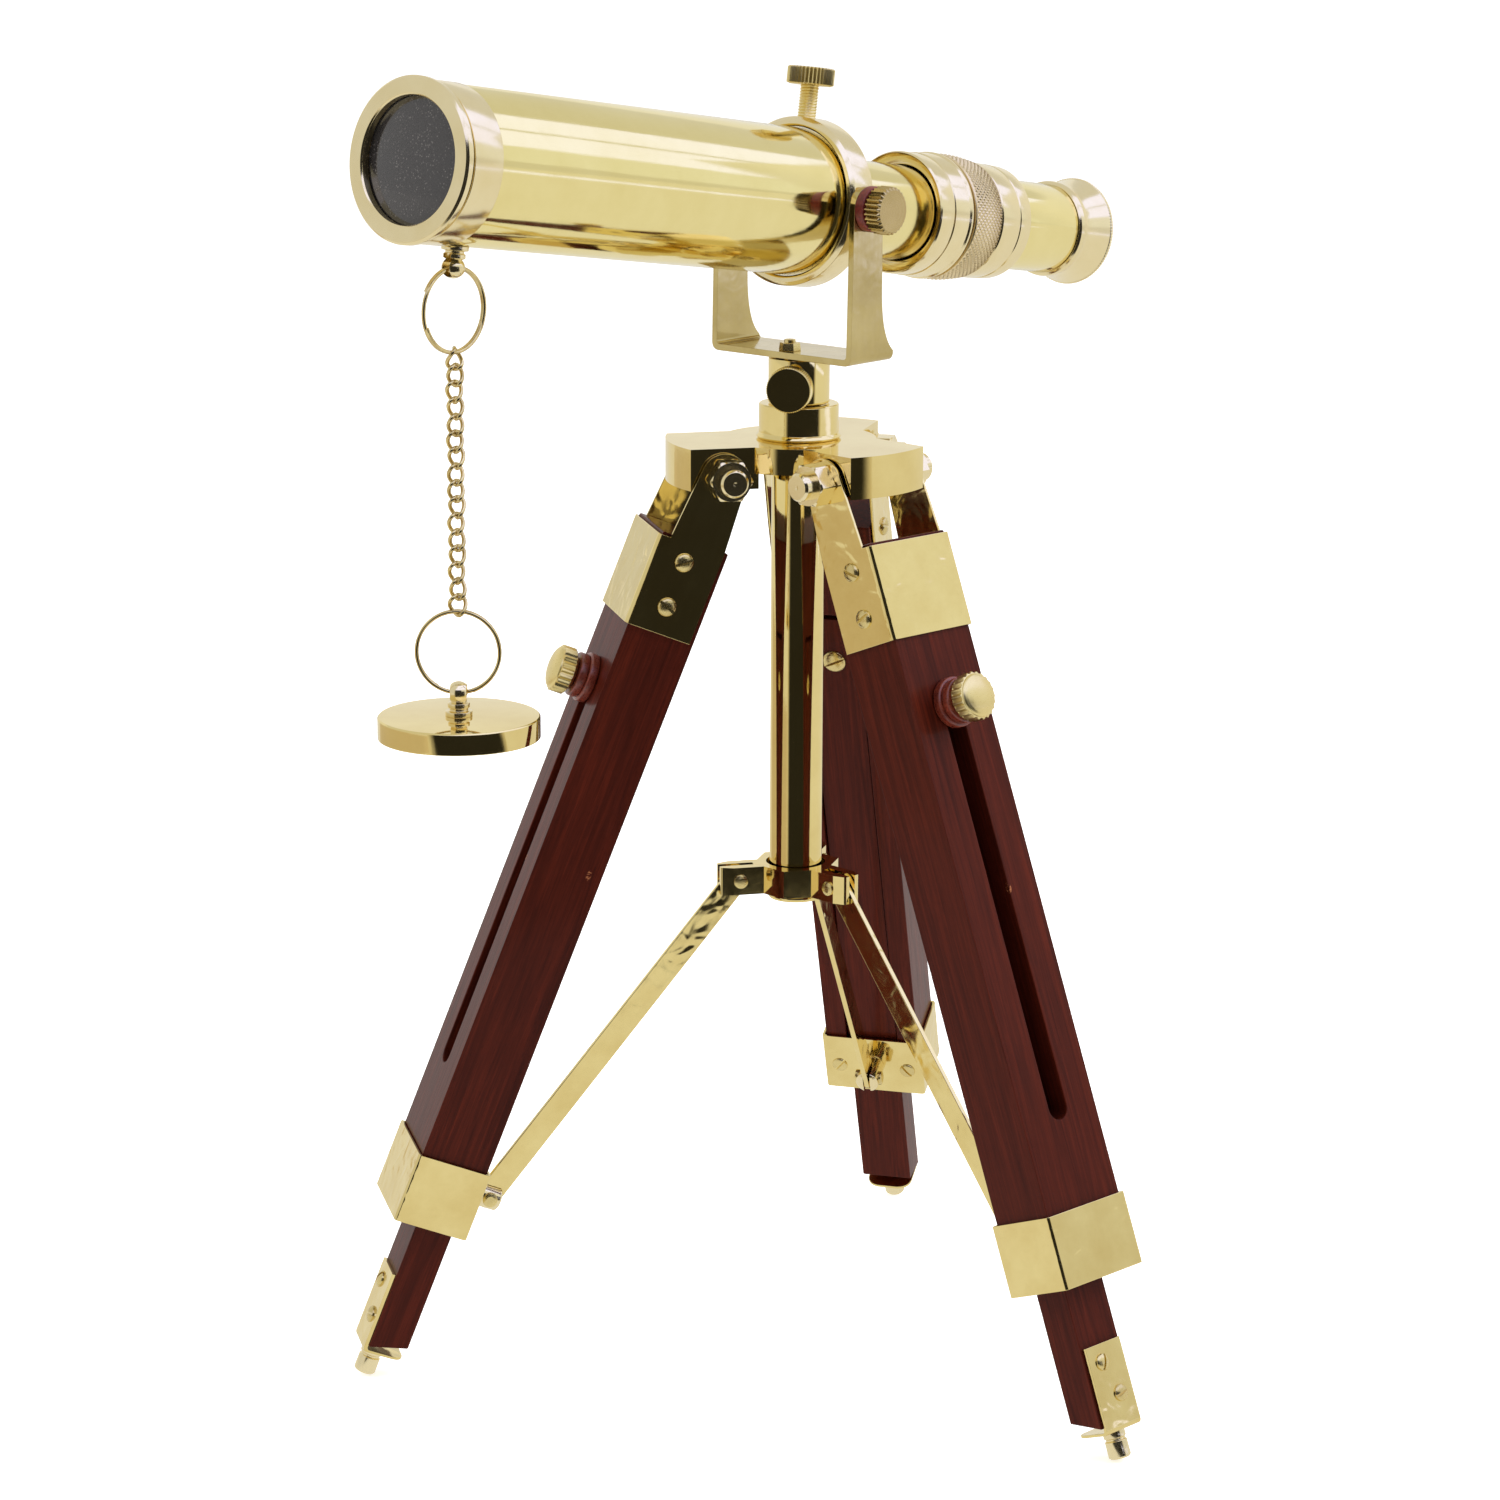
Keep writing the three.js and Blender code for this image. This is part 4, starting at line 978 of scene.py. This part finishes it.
def bracket_mesh():
    """The folded sheet at the top of a leg: two straps and the plate between them, with round bends."""
    edge, strap_end, shoulder = -7.2, -46.5, -20.3
    side = [(edge, strap_end), (FACE_OUTER + 1, strap_end), (FACE_OUTER + 1, shoulder), (8.9, shoulder)]
    side += arc(0.7, 0, 6.6, 0, 180, 28) + [(edge, shoulder)]
    inner = WOOD_HALF + GAP
    outside = [(-20, -SIDE_OUTER), (FACE_OUTER, -SIDE_OUTER), (FACE_OUTER, SIDE_OUTER), (-20, SIDE_OUTER)]
    inside = [(-20, inner), (WOOD_OUTER + GAP, inner), (WOOD_OUTER + GAP, -inner), (-20, -inner)]
    fold = prism(rounded(outside, 2.0, False, 9) + rounded(inside, 1.2, False, 6), -60, 20, "z")
    shell = boolean(prism(side, -20, 20, "y"), [fold], "INTERSECT")
    return bevelled(shell, 0.16, 2, 50)


def bracket_screws():
    heads = []
    for side in (1, -1):
        for station, turn in ((-25.6, 38), (-38.65, -22)):
            head = slotted_head(2.65, 1.35, 0.8, turn * side)
            spin = Matrix.Rotation(side * math.pi / 2, 4, "Z")
            heads.append(moved(head, 2.8, side * SIDE_OUTER, station, spin))
    return together(*heads)


def hexagon_nut(low, high, corner):
    """A six-sided nut about the y axis, with its corners turned off at both ends."""
    def relief(station, radius, angles):
        flat = corner * math.cos(math.pi / 6)
        within = (angles + 0.17) % (math.pi / 3) - math.pi / 6
        return np.minimum(radius, flat / np.cos(within))
    chamfer = 0.8
    profile = [
        (low, 0), (low, corner - chamfer), (low + 0.45, corner), (high - 0.45, corner),
        (high, corner - chamfer), (high, 0),
    ]
    return lathe(profile, "y", 96, 0.12, False, relief)


def hinge_bolt_mesh():
    low = SIDE_OUTER
    high = low + 5.6
    parts = [lathe(rod(-low, low, 2.3), "y", 32)]
    nut = hexagon_nut(low, high, 6.2)
    stub = [(high - 0.2, 0), (high - 0.2, 3.9), (24.3, 3.9), (25.0, 3.3), (25.0, 0.6), (24.8, 0)]
    end = lathe(stub, "y", 48, 0.25)
    for side in (1, -1):
        for part in (nut, end):
            parts.append(copy_of(part, Matrix.Scale(side, 4, (0, 1, 0))))
    return together(*parts)


def ferrule_mesh():
    inside = WOOD_INNER - GAP
    outside = inside - SHEET
    inner = WOOD_HALF + GAP
    corners = [(outside, -SIDE_OUTER), (FACE_OUTER, -SIDE_OUTER)]
    corners += [(FACE_OUTER, SIDE_OUTER), (outside, SIDE_OUTER)]
    hole = [(inside, -inner), (WOOD_OUTER + GAP, -inner), (WOOD_OUTER + GAP, inner), (inside, inner)]
    opening = prism(rounded(hole, 0.5, True, 2), -230, -200, "z")
    shell = boolean(prism(rounded(corners, 1.1, True, 4), -226.6, -206.5, "z"), [opening])
    return bevelled(shell, 0.22, 2, 50)


def lug_mesh():
    outside = WOOD_INNER - GAP - SHEET
    lug = lathe([(-19, 0), (-19, 2.6), (-18.4, 3.5), (outside + 0.1, 3.5), (outside + 0.1, 0)], "x", 48, 0.4)
    fork = box(-25, outside - 0.6, -FORK_HALF, FORK_HALF, -6, 6)
    lug = bevelled(boolean(lug, [fork]), 0.12, 2, 50)
    return moved(lug, 0, 0, -LUG_ALONG)


def pin_head(radius, low, high):
    """A riveted pin end along y, on both sides."""
    profile = [(low, 0), (low, radius), (high - 0.3, radius), (high, radius * 0.6), (high, 0)]
    head = lathe(profile, "y", 32, 0.15)
    return together(*[copy_of(head, Matrix.Scale(side, 4, (0, 1, 0))) for side in (1, -1)])


def inner_leg_mesh():
    outline = [(SLIDER_INNER, -52), (SLIDER_INNER, -SLIDER_END + 2.5)]
    outline += [(SLIDER_OUTER, -SLIDER_END), (SLIDER_OUTER, -52)]
    return bevelled(prism(outline, -SLIDER_HALF, SLIDER_HALF), 0.35, 2, 50)


def foot_bracket_mesh():
    inside = SLIDER_OUTER + 0.05
    outside = inside + GAP + SHEET
    top, bend, low = -244.3, -267.6, -268.4
    side = [(inside, top), (outside, top), (outside, low), (-8, low), (-8, low + SHEET), (inside, bend)]
    path = [Vector(side[0]), Vector(side[1])] + rounded(side[1:4], 1.4, False, 5)[1:-1]
    path += [Vector(side[3]), Vector(side[4])] + rounded(side[4:6] + [side[0]], 0.7, False, 3)[1:-1]
    sheet = prism(path, -7, 7, "y")
    plan = [(-8.05, -7.05), (20, -7.05), (20, 7.05), (-8.05, 7.05)]
    sheet = boolean(sheet, [prism(rounded(plan, 5, True, 8), -280, -240, "z")], "INTERSECT")
    return bevelled(sheet, 0.14, 2, 50)


def foot_screws():
    outside = SLIDER_OUTER + 0.05 + GAP + SHEET
    heads = []
    for side, station, turn in ((-1.9, -249.2, 70), (1.9, -258.7, 15)):
        heads.append(moved(slotted_head(2.4, 1.25, 0.7, turn), outside, side, station))
    return together(*heads)


def peg_mesh():
    profile = [
        (-276, 0), (-276, 2.6), (-275.5, 3.1), (-271.2, 3.1), (-270.9, 2.7), (-270.5, 2.7), (-270.2, 3.1),
        (-268.3, 3.1), (-268.3, 0),
    ]
    return lathe(profile, "z", 48, 0.15)


def clamp_bolt_meshes():
    head = SLIDER_INNER
    bolt = slotted_head(3.5, 1.3, 0.8, 25)
    bolt.transform(Matrix.Rotation(math.pi, 4, "Z"))
    bolt = moved(bolt, head, 0, -CLAMP_STATION)
    shank = moved(threaded(1.9, head, 17.2), 0, 0, -CLAMP_STATION)
    washers = []
    for low, high, radius in ((WOOD_OUTER + 0.1, 13.9, 7.0), (13.95, 16.5, 6.3)):
        ring = lathe(rod(low, high, radius), "x", 56, 0.6)
        washers.append(moved(ring, 0, 0, -CLAMP_STATION))
    return together(bolt, shank), together(*washers)


def clamp_knob_mesh():
    """A knob with coarse rounded teeth round its rim and a plain domed face."""
    teeth = 22
    rim_low, rim_high, rim, face = 17.9, 21.7, 6.7, 6.0
    profile = [(16.8, 0), (16.8, 4.6), (17.3, 5.3), (rim_low - 0.1, 5.9)]
    profile += [(rim_low, rim - 0.2), (rim_low + 0.2, rim)]
    profile += [(rim_high - 0.2, rim), (rim_high, rim - 0.2), (rim_high + 0.05, face)]
    dome = [math.radians(90 * k / 8) for k in range(1, 9)]
    profile += [(rim_high + 0.05 + 1.8 * math.sin(t), face * math.cos(t)) for t in dome]
    relief = straight_knurl(teeth, 0.7, rim_low - 0.05, rim_high + 0.03, 0.3, 6.2)
    return moved(lathe(profile, "x", teeth * 10, 0.1, False, relief), 0, 0, -CLAMP_STATION)


def leg_pieces(name):
    place = leg_frame(name)
    upper = "upper_leg_" + name
    inner = "inner_leg_" + name

    def leg_piece(piece, mesh, body, material, node=None, sharp=SHARP):
        add_piece(piece + "_" + name, mesh, place, body, material, node, sharp)

    leg_piece("outer_wood", upper_leg_mesh(), upper, WOOD, upper, FLAT_SHARP)
    leg_piece("hinge_bracket", bracket_mesh(), upper, SHEET_BRASS, "top_bracket_" + name, FLAT_SHARP)
    leg_piece("bracket_screws", bracket_screws(), upper, SCREW_BRASS)
    leg_piece("hinge_nuts", hinge_bolt_mesh(), upper, TURNED, "hinge_bolt_" + name, FLAT_SHARP)
    leg_piece("band", ferrule_mesh(), upper, SHEET_BRASS, "ferrule_" + name, FLAT_SHARP)
    leg_piece("lug", lug_mesh(), upper, TURNED)
    pins = moved(pin_head(2.1, 2.9, 4.35), LUG_ACROSS, 0, -LUG_ALONG)
    leg_piece("lug_pin", pins, upper, SCREW_BRASS)
    band_screws = []
    flipped = Matrix.Rotation(math.pi, 4, "Z")
    for side, turn in ((10.8, 50), (-10.8, -50)):
        head = slotted_head(2.4, 0.85, 0.65, turn)
        band_screws.append(moved(head, WOOD_INNER - GAP - SHEET, side, -217.5, flipped))
    leg_piece("band_screws", together(*band_screws), upper, SCREW_BRASS)
    leg_piece("sliding_wood", inner_leg_mesh(), inner, WOOD, inner, FLAT_SHARP)
    leg_piece("foot_plate", foot_bracket_mesh(), inner, SHEET_BRASS, "foot_bracket_" + name, FLAT_SHARP)
    leg_piece("foot_screws", foot_screws(), inner, SCREW_BRASS)
    leg_piece("foot_peg", peg_mesh(), inner, TURNED)
    bolt, washers = clamp_bolt_meshes()
    leg_piece("clamp_washers", washers, inner, STAINED, "clamp_bolt_" + name)
    leg_piece("clamp_screw", bolt, inner, SCREW_BRASS)
    knob = "clamp_knob_" + name
    leg_piece("thumb_knob", clamp_knob_mesh(), knob, SATIN_TURNED, knob)


# ------------------------------------------------------------------ spreader
def spreader_pieces():
    low, high = COLLAR_LOW, COLLAR_HIGH
    corners = [math.radians(60 * k + 30) for k in range(6)]
    body = prism([(math.cos(a) * 12.6, math.sin(a) * 12.6) for a in corners], low, high, "z")
    plan = [(9, -4), (19.0, -4), (22.5, -2.6), (22.5, 2.6), (19.0, 4), (9, 4)]
    lugs = round_the_column(prism(rounded(plan, 0.8, True, 3), low + 0.01, high - 0.01, "z"))
    slots = round_the_column(box(12.6, 30, -FORK_HALF, FORK_HALF, low - 5, high + 5))
    bore = lathe(rod(low - 5, high + 5, 8.4), "z", 64, 0)
    body = boolean(boolean(body, lugs, "UNION"), [bore, *slots])
    body = bevelled(body, 0.2, 2, 40)
    add_piece("sliding_collar", body, TRIPOD, "spreader_collar", MIRROR_BRASS, "spreader_collar", FLAT_SHARP)
    for name in LEG_NAMES:
        pin = lathe(rod(-4.9, 4.9, 1.3), "y", 24, 0.2)
        rivet = moved(together(pin, pin_head(2.0, 3.9, 4.8)), COLLAR_PIN_REACH, 0, (low + high) / 2)
        add_piece("collar_pin_" + name, rivet, collar_frame(name), "spreader_collar", SCREW_BRASS)
        reach = (lug_point(name) - joint_place("arm_fold_" + name)[0]).length / MM
        strap = arc(0, 0, 3.5, 0, 180, 16) + arc(0, -reach, 3.5, 180, 360, 16)
        arm = bevelled(prism(strap, -0.75, 0.75, "y"), 0.18, 2, 50)
        node = "spreader_arm_" + name
        add_piece("spreader_strap_" + name, arm, arm_frame(name), node, SHEET_BRASS, node, FLAT_SHARP)


# ------------------------------------------------------------------ studio
CAMERA_DISTANCE = 1136.6
CAMERA_HEIGHT = 454.8
CAMERA_AZIMUTH = -135.0
CAMERA_PITCH = 13.83
CAMERA_YAW = -0.66
CAMERA_ROLL = 0.26
CAMERA_FOCAL = 4143.0
FRAME_PIXELS = 1500.0
SENSOR = 36.0
FLOOR_REFLECTED = 0.8
WORLD_REFLECTED = 0.69
RAIL_DISTANCE = 1500.0
RAIL_LENGTH = 3500.0
CARD_STEPS = 24
CARD_LIFT = 0.002
FLOOR_REACH = 12.0
AIM_HEIGHT = 0.18


def camera():
    data = bpy.data.cameras.new("camera")
    data.sensor_width = SENSOR
    data.lens = CAMERA_FOCAL / FRAME_PIXELS * SENSOR
    data.clip_start = 0.01
    data.clip_end = 50
    item = new_object("camera", data)
    away = math.radians(CAMERA_AZIMUTH)
    stand = Vector((CAMERA_DISTANCE * math.cos(away), CAMERA_DISTANCE * math.sin(away), CAMERA_HEIGHT))
    place = TRIPOD @ stand
    heading = away + math.pi - math.radians(CAMERA_YAW)
    pitch = math.radians(CAMERA_PITCH)
    level = math.cos(pitch)
    forward = Vector((math.cos(heading) * level, math.sin(heading) * level, -math.sin(pitch)))
    turn = forward.to_track_quat("-Z", "Y").to_matrix().to_4x4()
    roll = Matrix.Rotation(math.radians(CAMERA_ROLL), 4, "Z")
    item.matrix_world = Matrix.Translation(place) @ turn @ roll
    bpy.context.scene.camera = item


def emitter(name, colour, strength, edge=None):
    """A glow, which may change to another strength at a card's two ends."""
    material = bpy.data.materials.new(name)
    material.use_nodes = True
    tree = material.node_tree
    tree.nodes.clear()
    output = tree.nodes.new("ShaderNodeOutputMaterial")
    glow = tree.nodes.new("ShaderNodeEmission")
    glow.inputs["Color"].default_value = colour
    glow.inputs["Strength"].default_value = strength
    tree.links.new(glow.outputs[0], output.inputs["Surface"])
    if edge is not None:
        middle = tree.nodes.new("ShaderNodeAttribute")
        middle.attribute_name = "middle"
        change = tree.nodes.new("ShaderNodeMapRange")
        change.interpolation_type = "SMOOTHSTEP"
        for key, number in (("From Max", 0.35), ("To Min", edge), ("To Max", strength)):
            change.inputs[key].default_value = number
        tree.links.new(middle.outputs["Fac"], change.inputs["Value"])
        tree.links.new(change.outputs[0], glow.inputs["Strength"])
    return material


def reflected_card(name, rows, material, shades=False):
    """A strip through pairs of points. Only reflections see it, unless it also shades the object."""
    vertices = [point for row in rows for point in row]
    faces = [(2 * k, 2 * k + 1, 2 * k + 3, 2 * k + 2) for k in range(len(rows) - 1)]
    mesh = mesh_from(name, vertices, faces)
    mesh.materials.append(material)
    middle = mesh.attributes.new("middle", "FLOAT", "POINT")
    shares = [k / (len(rows) - 1) for k in range(len(rows)) for _ in range(2)]
    middle.data.foreach_set("value", [4 * share * (1 - share) for share in shares])
    item = new_object(name, mesh)
    item.visible_camera = False
    item.visible_diffuse = shades
    item.visible_shadow = False
    item.visible_transmission = False


def around(azimuth_low, azimuth_high, edges):
    """Rows of points round the object. edges holds a (distance, height) pair for each side of a strip."""
    span = azimuth_high - azimuth_low
    angles = [math.radians(azimuth_low + span * k / CARD_STEPS) for k in range(CARD_STEPS + 1)]
    return [[(reach * math.cos(a), reach * math.sin(a), height) for reach, height in edges] for a in angles]


def wall_card(name, azimuth_low, azimuth_high, low, high, distance, material, shades=False):
    rows = around(azimuth_low, azimuth_high, ((distance, low), (distance, high)))
    reflected_card(name, rows, material, shades)


def floor_card(name, azimuth_low, azimuth_high, inner, outer, material):
    rows = around(azimuth_low, azimuth_high, ((inner, CARD_LIFT), (outer, CARD_LIFT)))
    reflected_card(name, rows, material)


def rail(name, low, high, material):
    """A long strip beside the telescope, parallel to it, between two angles from its level."""
    rows = []
    for k in range(9):
        a = math.radians(low + (high - low) * k / 8)
        y, z = -RAIL_DISTANCE * math.cos(a), RAIL_DISTANCE * math.sin(a)
        rows.append([TUBE @ Vector((x, y, z)) for x in (-RAIL_LENGTH, RAIL_LENGTH)])
    reflected_card(name, rows, material)


def area(name, azimuth, elevation, distance, size, power):
    data = bpy.data.lights.new(name, "AREA")
    data.shape = "RECTANGLE"
    data.size, data.size_y = size
    data.energy = power
    item = new_object(name, data)
    a, e = math.radians(azimuth), math.radians(elevation)
    aim = Vector((0, 0, AIM_HEIGHT))
    place = aim + distance * Vector((math.cos(a) * math.cos(e), math.sin(a) * math.cos(e), math.sin(e)))
    turn = (aim - place).to_track_quat("-Z", "Y").to_matrix().to_4x4()
    item.matrix_world = Matrix.Translation(place) @ turn
    item.visible_glossy = False


def floor():
    """A pale floor. Where polished brass reflects it, it is an even glow."""
    nodes = Nodes("pale_floor")
    grain = nodes.noise(nodes.own, 3.0, 3.0)
    nodes.set(
        Base_Color=nodes.mix(grain, (0.93, 0.93, 0.93, 1), (0.95, 0.95, 0.95, 1)), Roughness=0.6,
        Emission_Color=(1, 1, 1, 1), Emission_Strength=0.5,
    )
    glow = nodes.add("Emission", Color=(1.0, 0.98, 0.94, 1), Strength=FLOOR_REFLECTED)
    mix = nodes.add("MixShader", Fac=nodes.add("LightPath").outputs["Is Glossy Ray"])
    nodes.link(nodes.shader.outputs["BSDF"], mix.inputs[1])
    nodes.link(glow.outputs[0], mix.inputs[2])
    nodes.link(mix.outputs[0], nodes.output.inputs["Surface"])
    edge = FLOOR_REACH
    corners = [(-edge, -edge, 0), (edge, -edge, 0), (edge, edge, 0), (-edge, edge, 0)]
    mesh = mesh_from("floor", corners, [(0, 1, 2, 3)])
    mesh.materials.append(nodes.material)
    new_object("floor", mesh)


def studio():
    """White surroundings. Polished brass sees grey walls, a dark front, and bright strips beside it."""
    scene = bpy.context.scene
    scene.view_settings.view_transform = "Standard"
    world = bpy.data.worlds.new("studio")
    world.use_nodes = True
    scene.world = world
    tree = world.node_tree
    back = tree.nodes["Background"]
    back.inputs["Color"].default_value = (1.0, 0.99, 0.97, 1)
    back.inputs["Strength"].default_value = WORLD_REFLECTED
    seen = tree.nodes.new("ShaderNodeBackground")
    seen.inputs["Color"].default_value = (1, 1, 1, 1)
    seen.inputs["Strength"].default_value = 1.05
    rays = tree.nodes.new("ShaderNodeLightPath")
    mix = tree.nodes.new("ShaderNodeMixShader")
    tree.links.new(rays.outputs["Is Camera Ray"], mix.inputs["Fac"])
    tree.links.new(back.outputs[0], mix.inputs[1])
    tree.links.new(seen.outputs[0], mix.inputs[2])
    tree.links.new(mix.outputs[0], tree.nodes["World Output"].inputs["Surface"])
    floor()
    front = CAMERA_AZIMUTH
    dark_from, dark_to = front - 41, front + 66
    black = emitter("black_card", (1.0, 0.92, 0.75, 1), 0.022, WORLD_REFLECTED)
    floor_card("front_floor_card", dark_from, dark_to, 0.42, 1.5, black)
    wall_card("front_wall_card", dark_from, dark_to, 0.0, 1.15, 1.5, black, True)
    warm = emitter("warm_card", (1.0, 0.86, 0.66, 1), 0.60, 0.66)
    floor_card("warm_floor_card", front - 135, dark_from, 0.6, 1.6, warm)
    soft = emitter("soft_card", (1.0, 0.99, 0.97, 1), 0.86, 0.78)
    wall_card("back_card", front + 110, front + 240, 0.30, 1.0, 1.6, soft)
    white = emitter("white_rail", (0.95, 1.0, 1.6, 1), 1.12)
    rail("top_rail", 57, 79, white)
    rail("side_rail", 33, 54.5, white)
    rail("thin_rail", -1.4, 0.8, white)
    rail("soft_rail", 13, 33, emitter("soft_rail", (1.0, 1.02, 1.05, 1), 0.84))
    area("key", front + 88, 38, 1.6, (1.2, 1.2), 20)
    area("fill", front - 88, 30, 1.8, (1.4, 1.4), 13)
    area("top", front + 180, 70, 1.5, (1.5, 1.5), 12)


# ------------------------------------------------------------------ the whole
camera()
studio()
telescope_pieces()
clamp_screw_piece()
yoke_piece()
sleeve_and_screws()
hub_piece()
column_pieces()
stud_piece()
cap_pieces()
for leg_name in LEG_NAMES:
    leg_pieces(leg_name)
spreader_pieces()
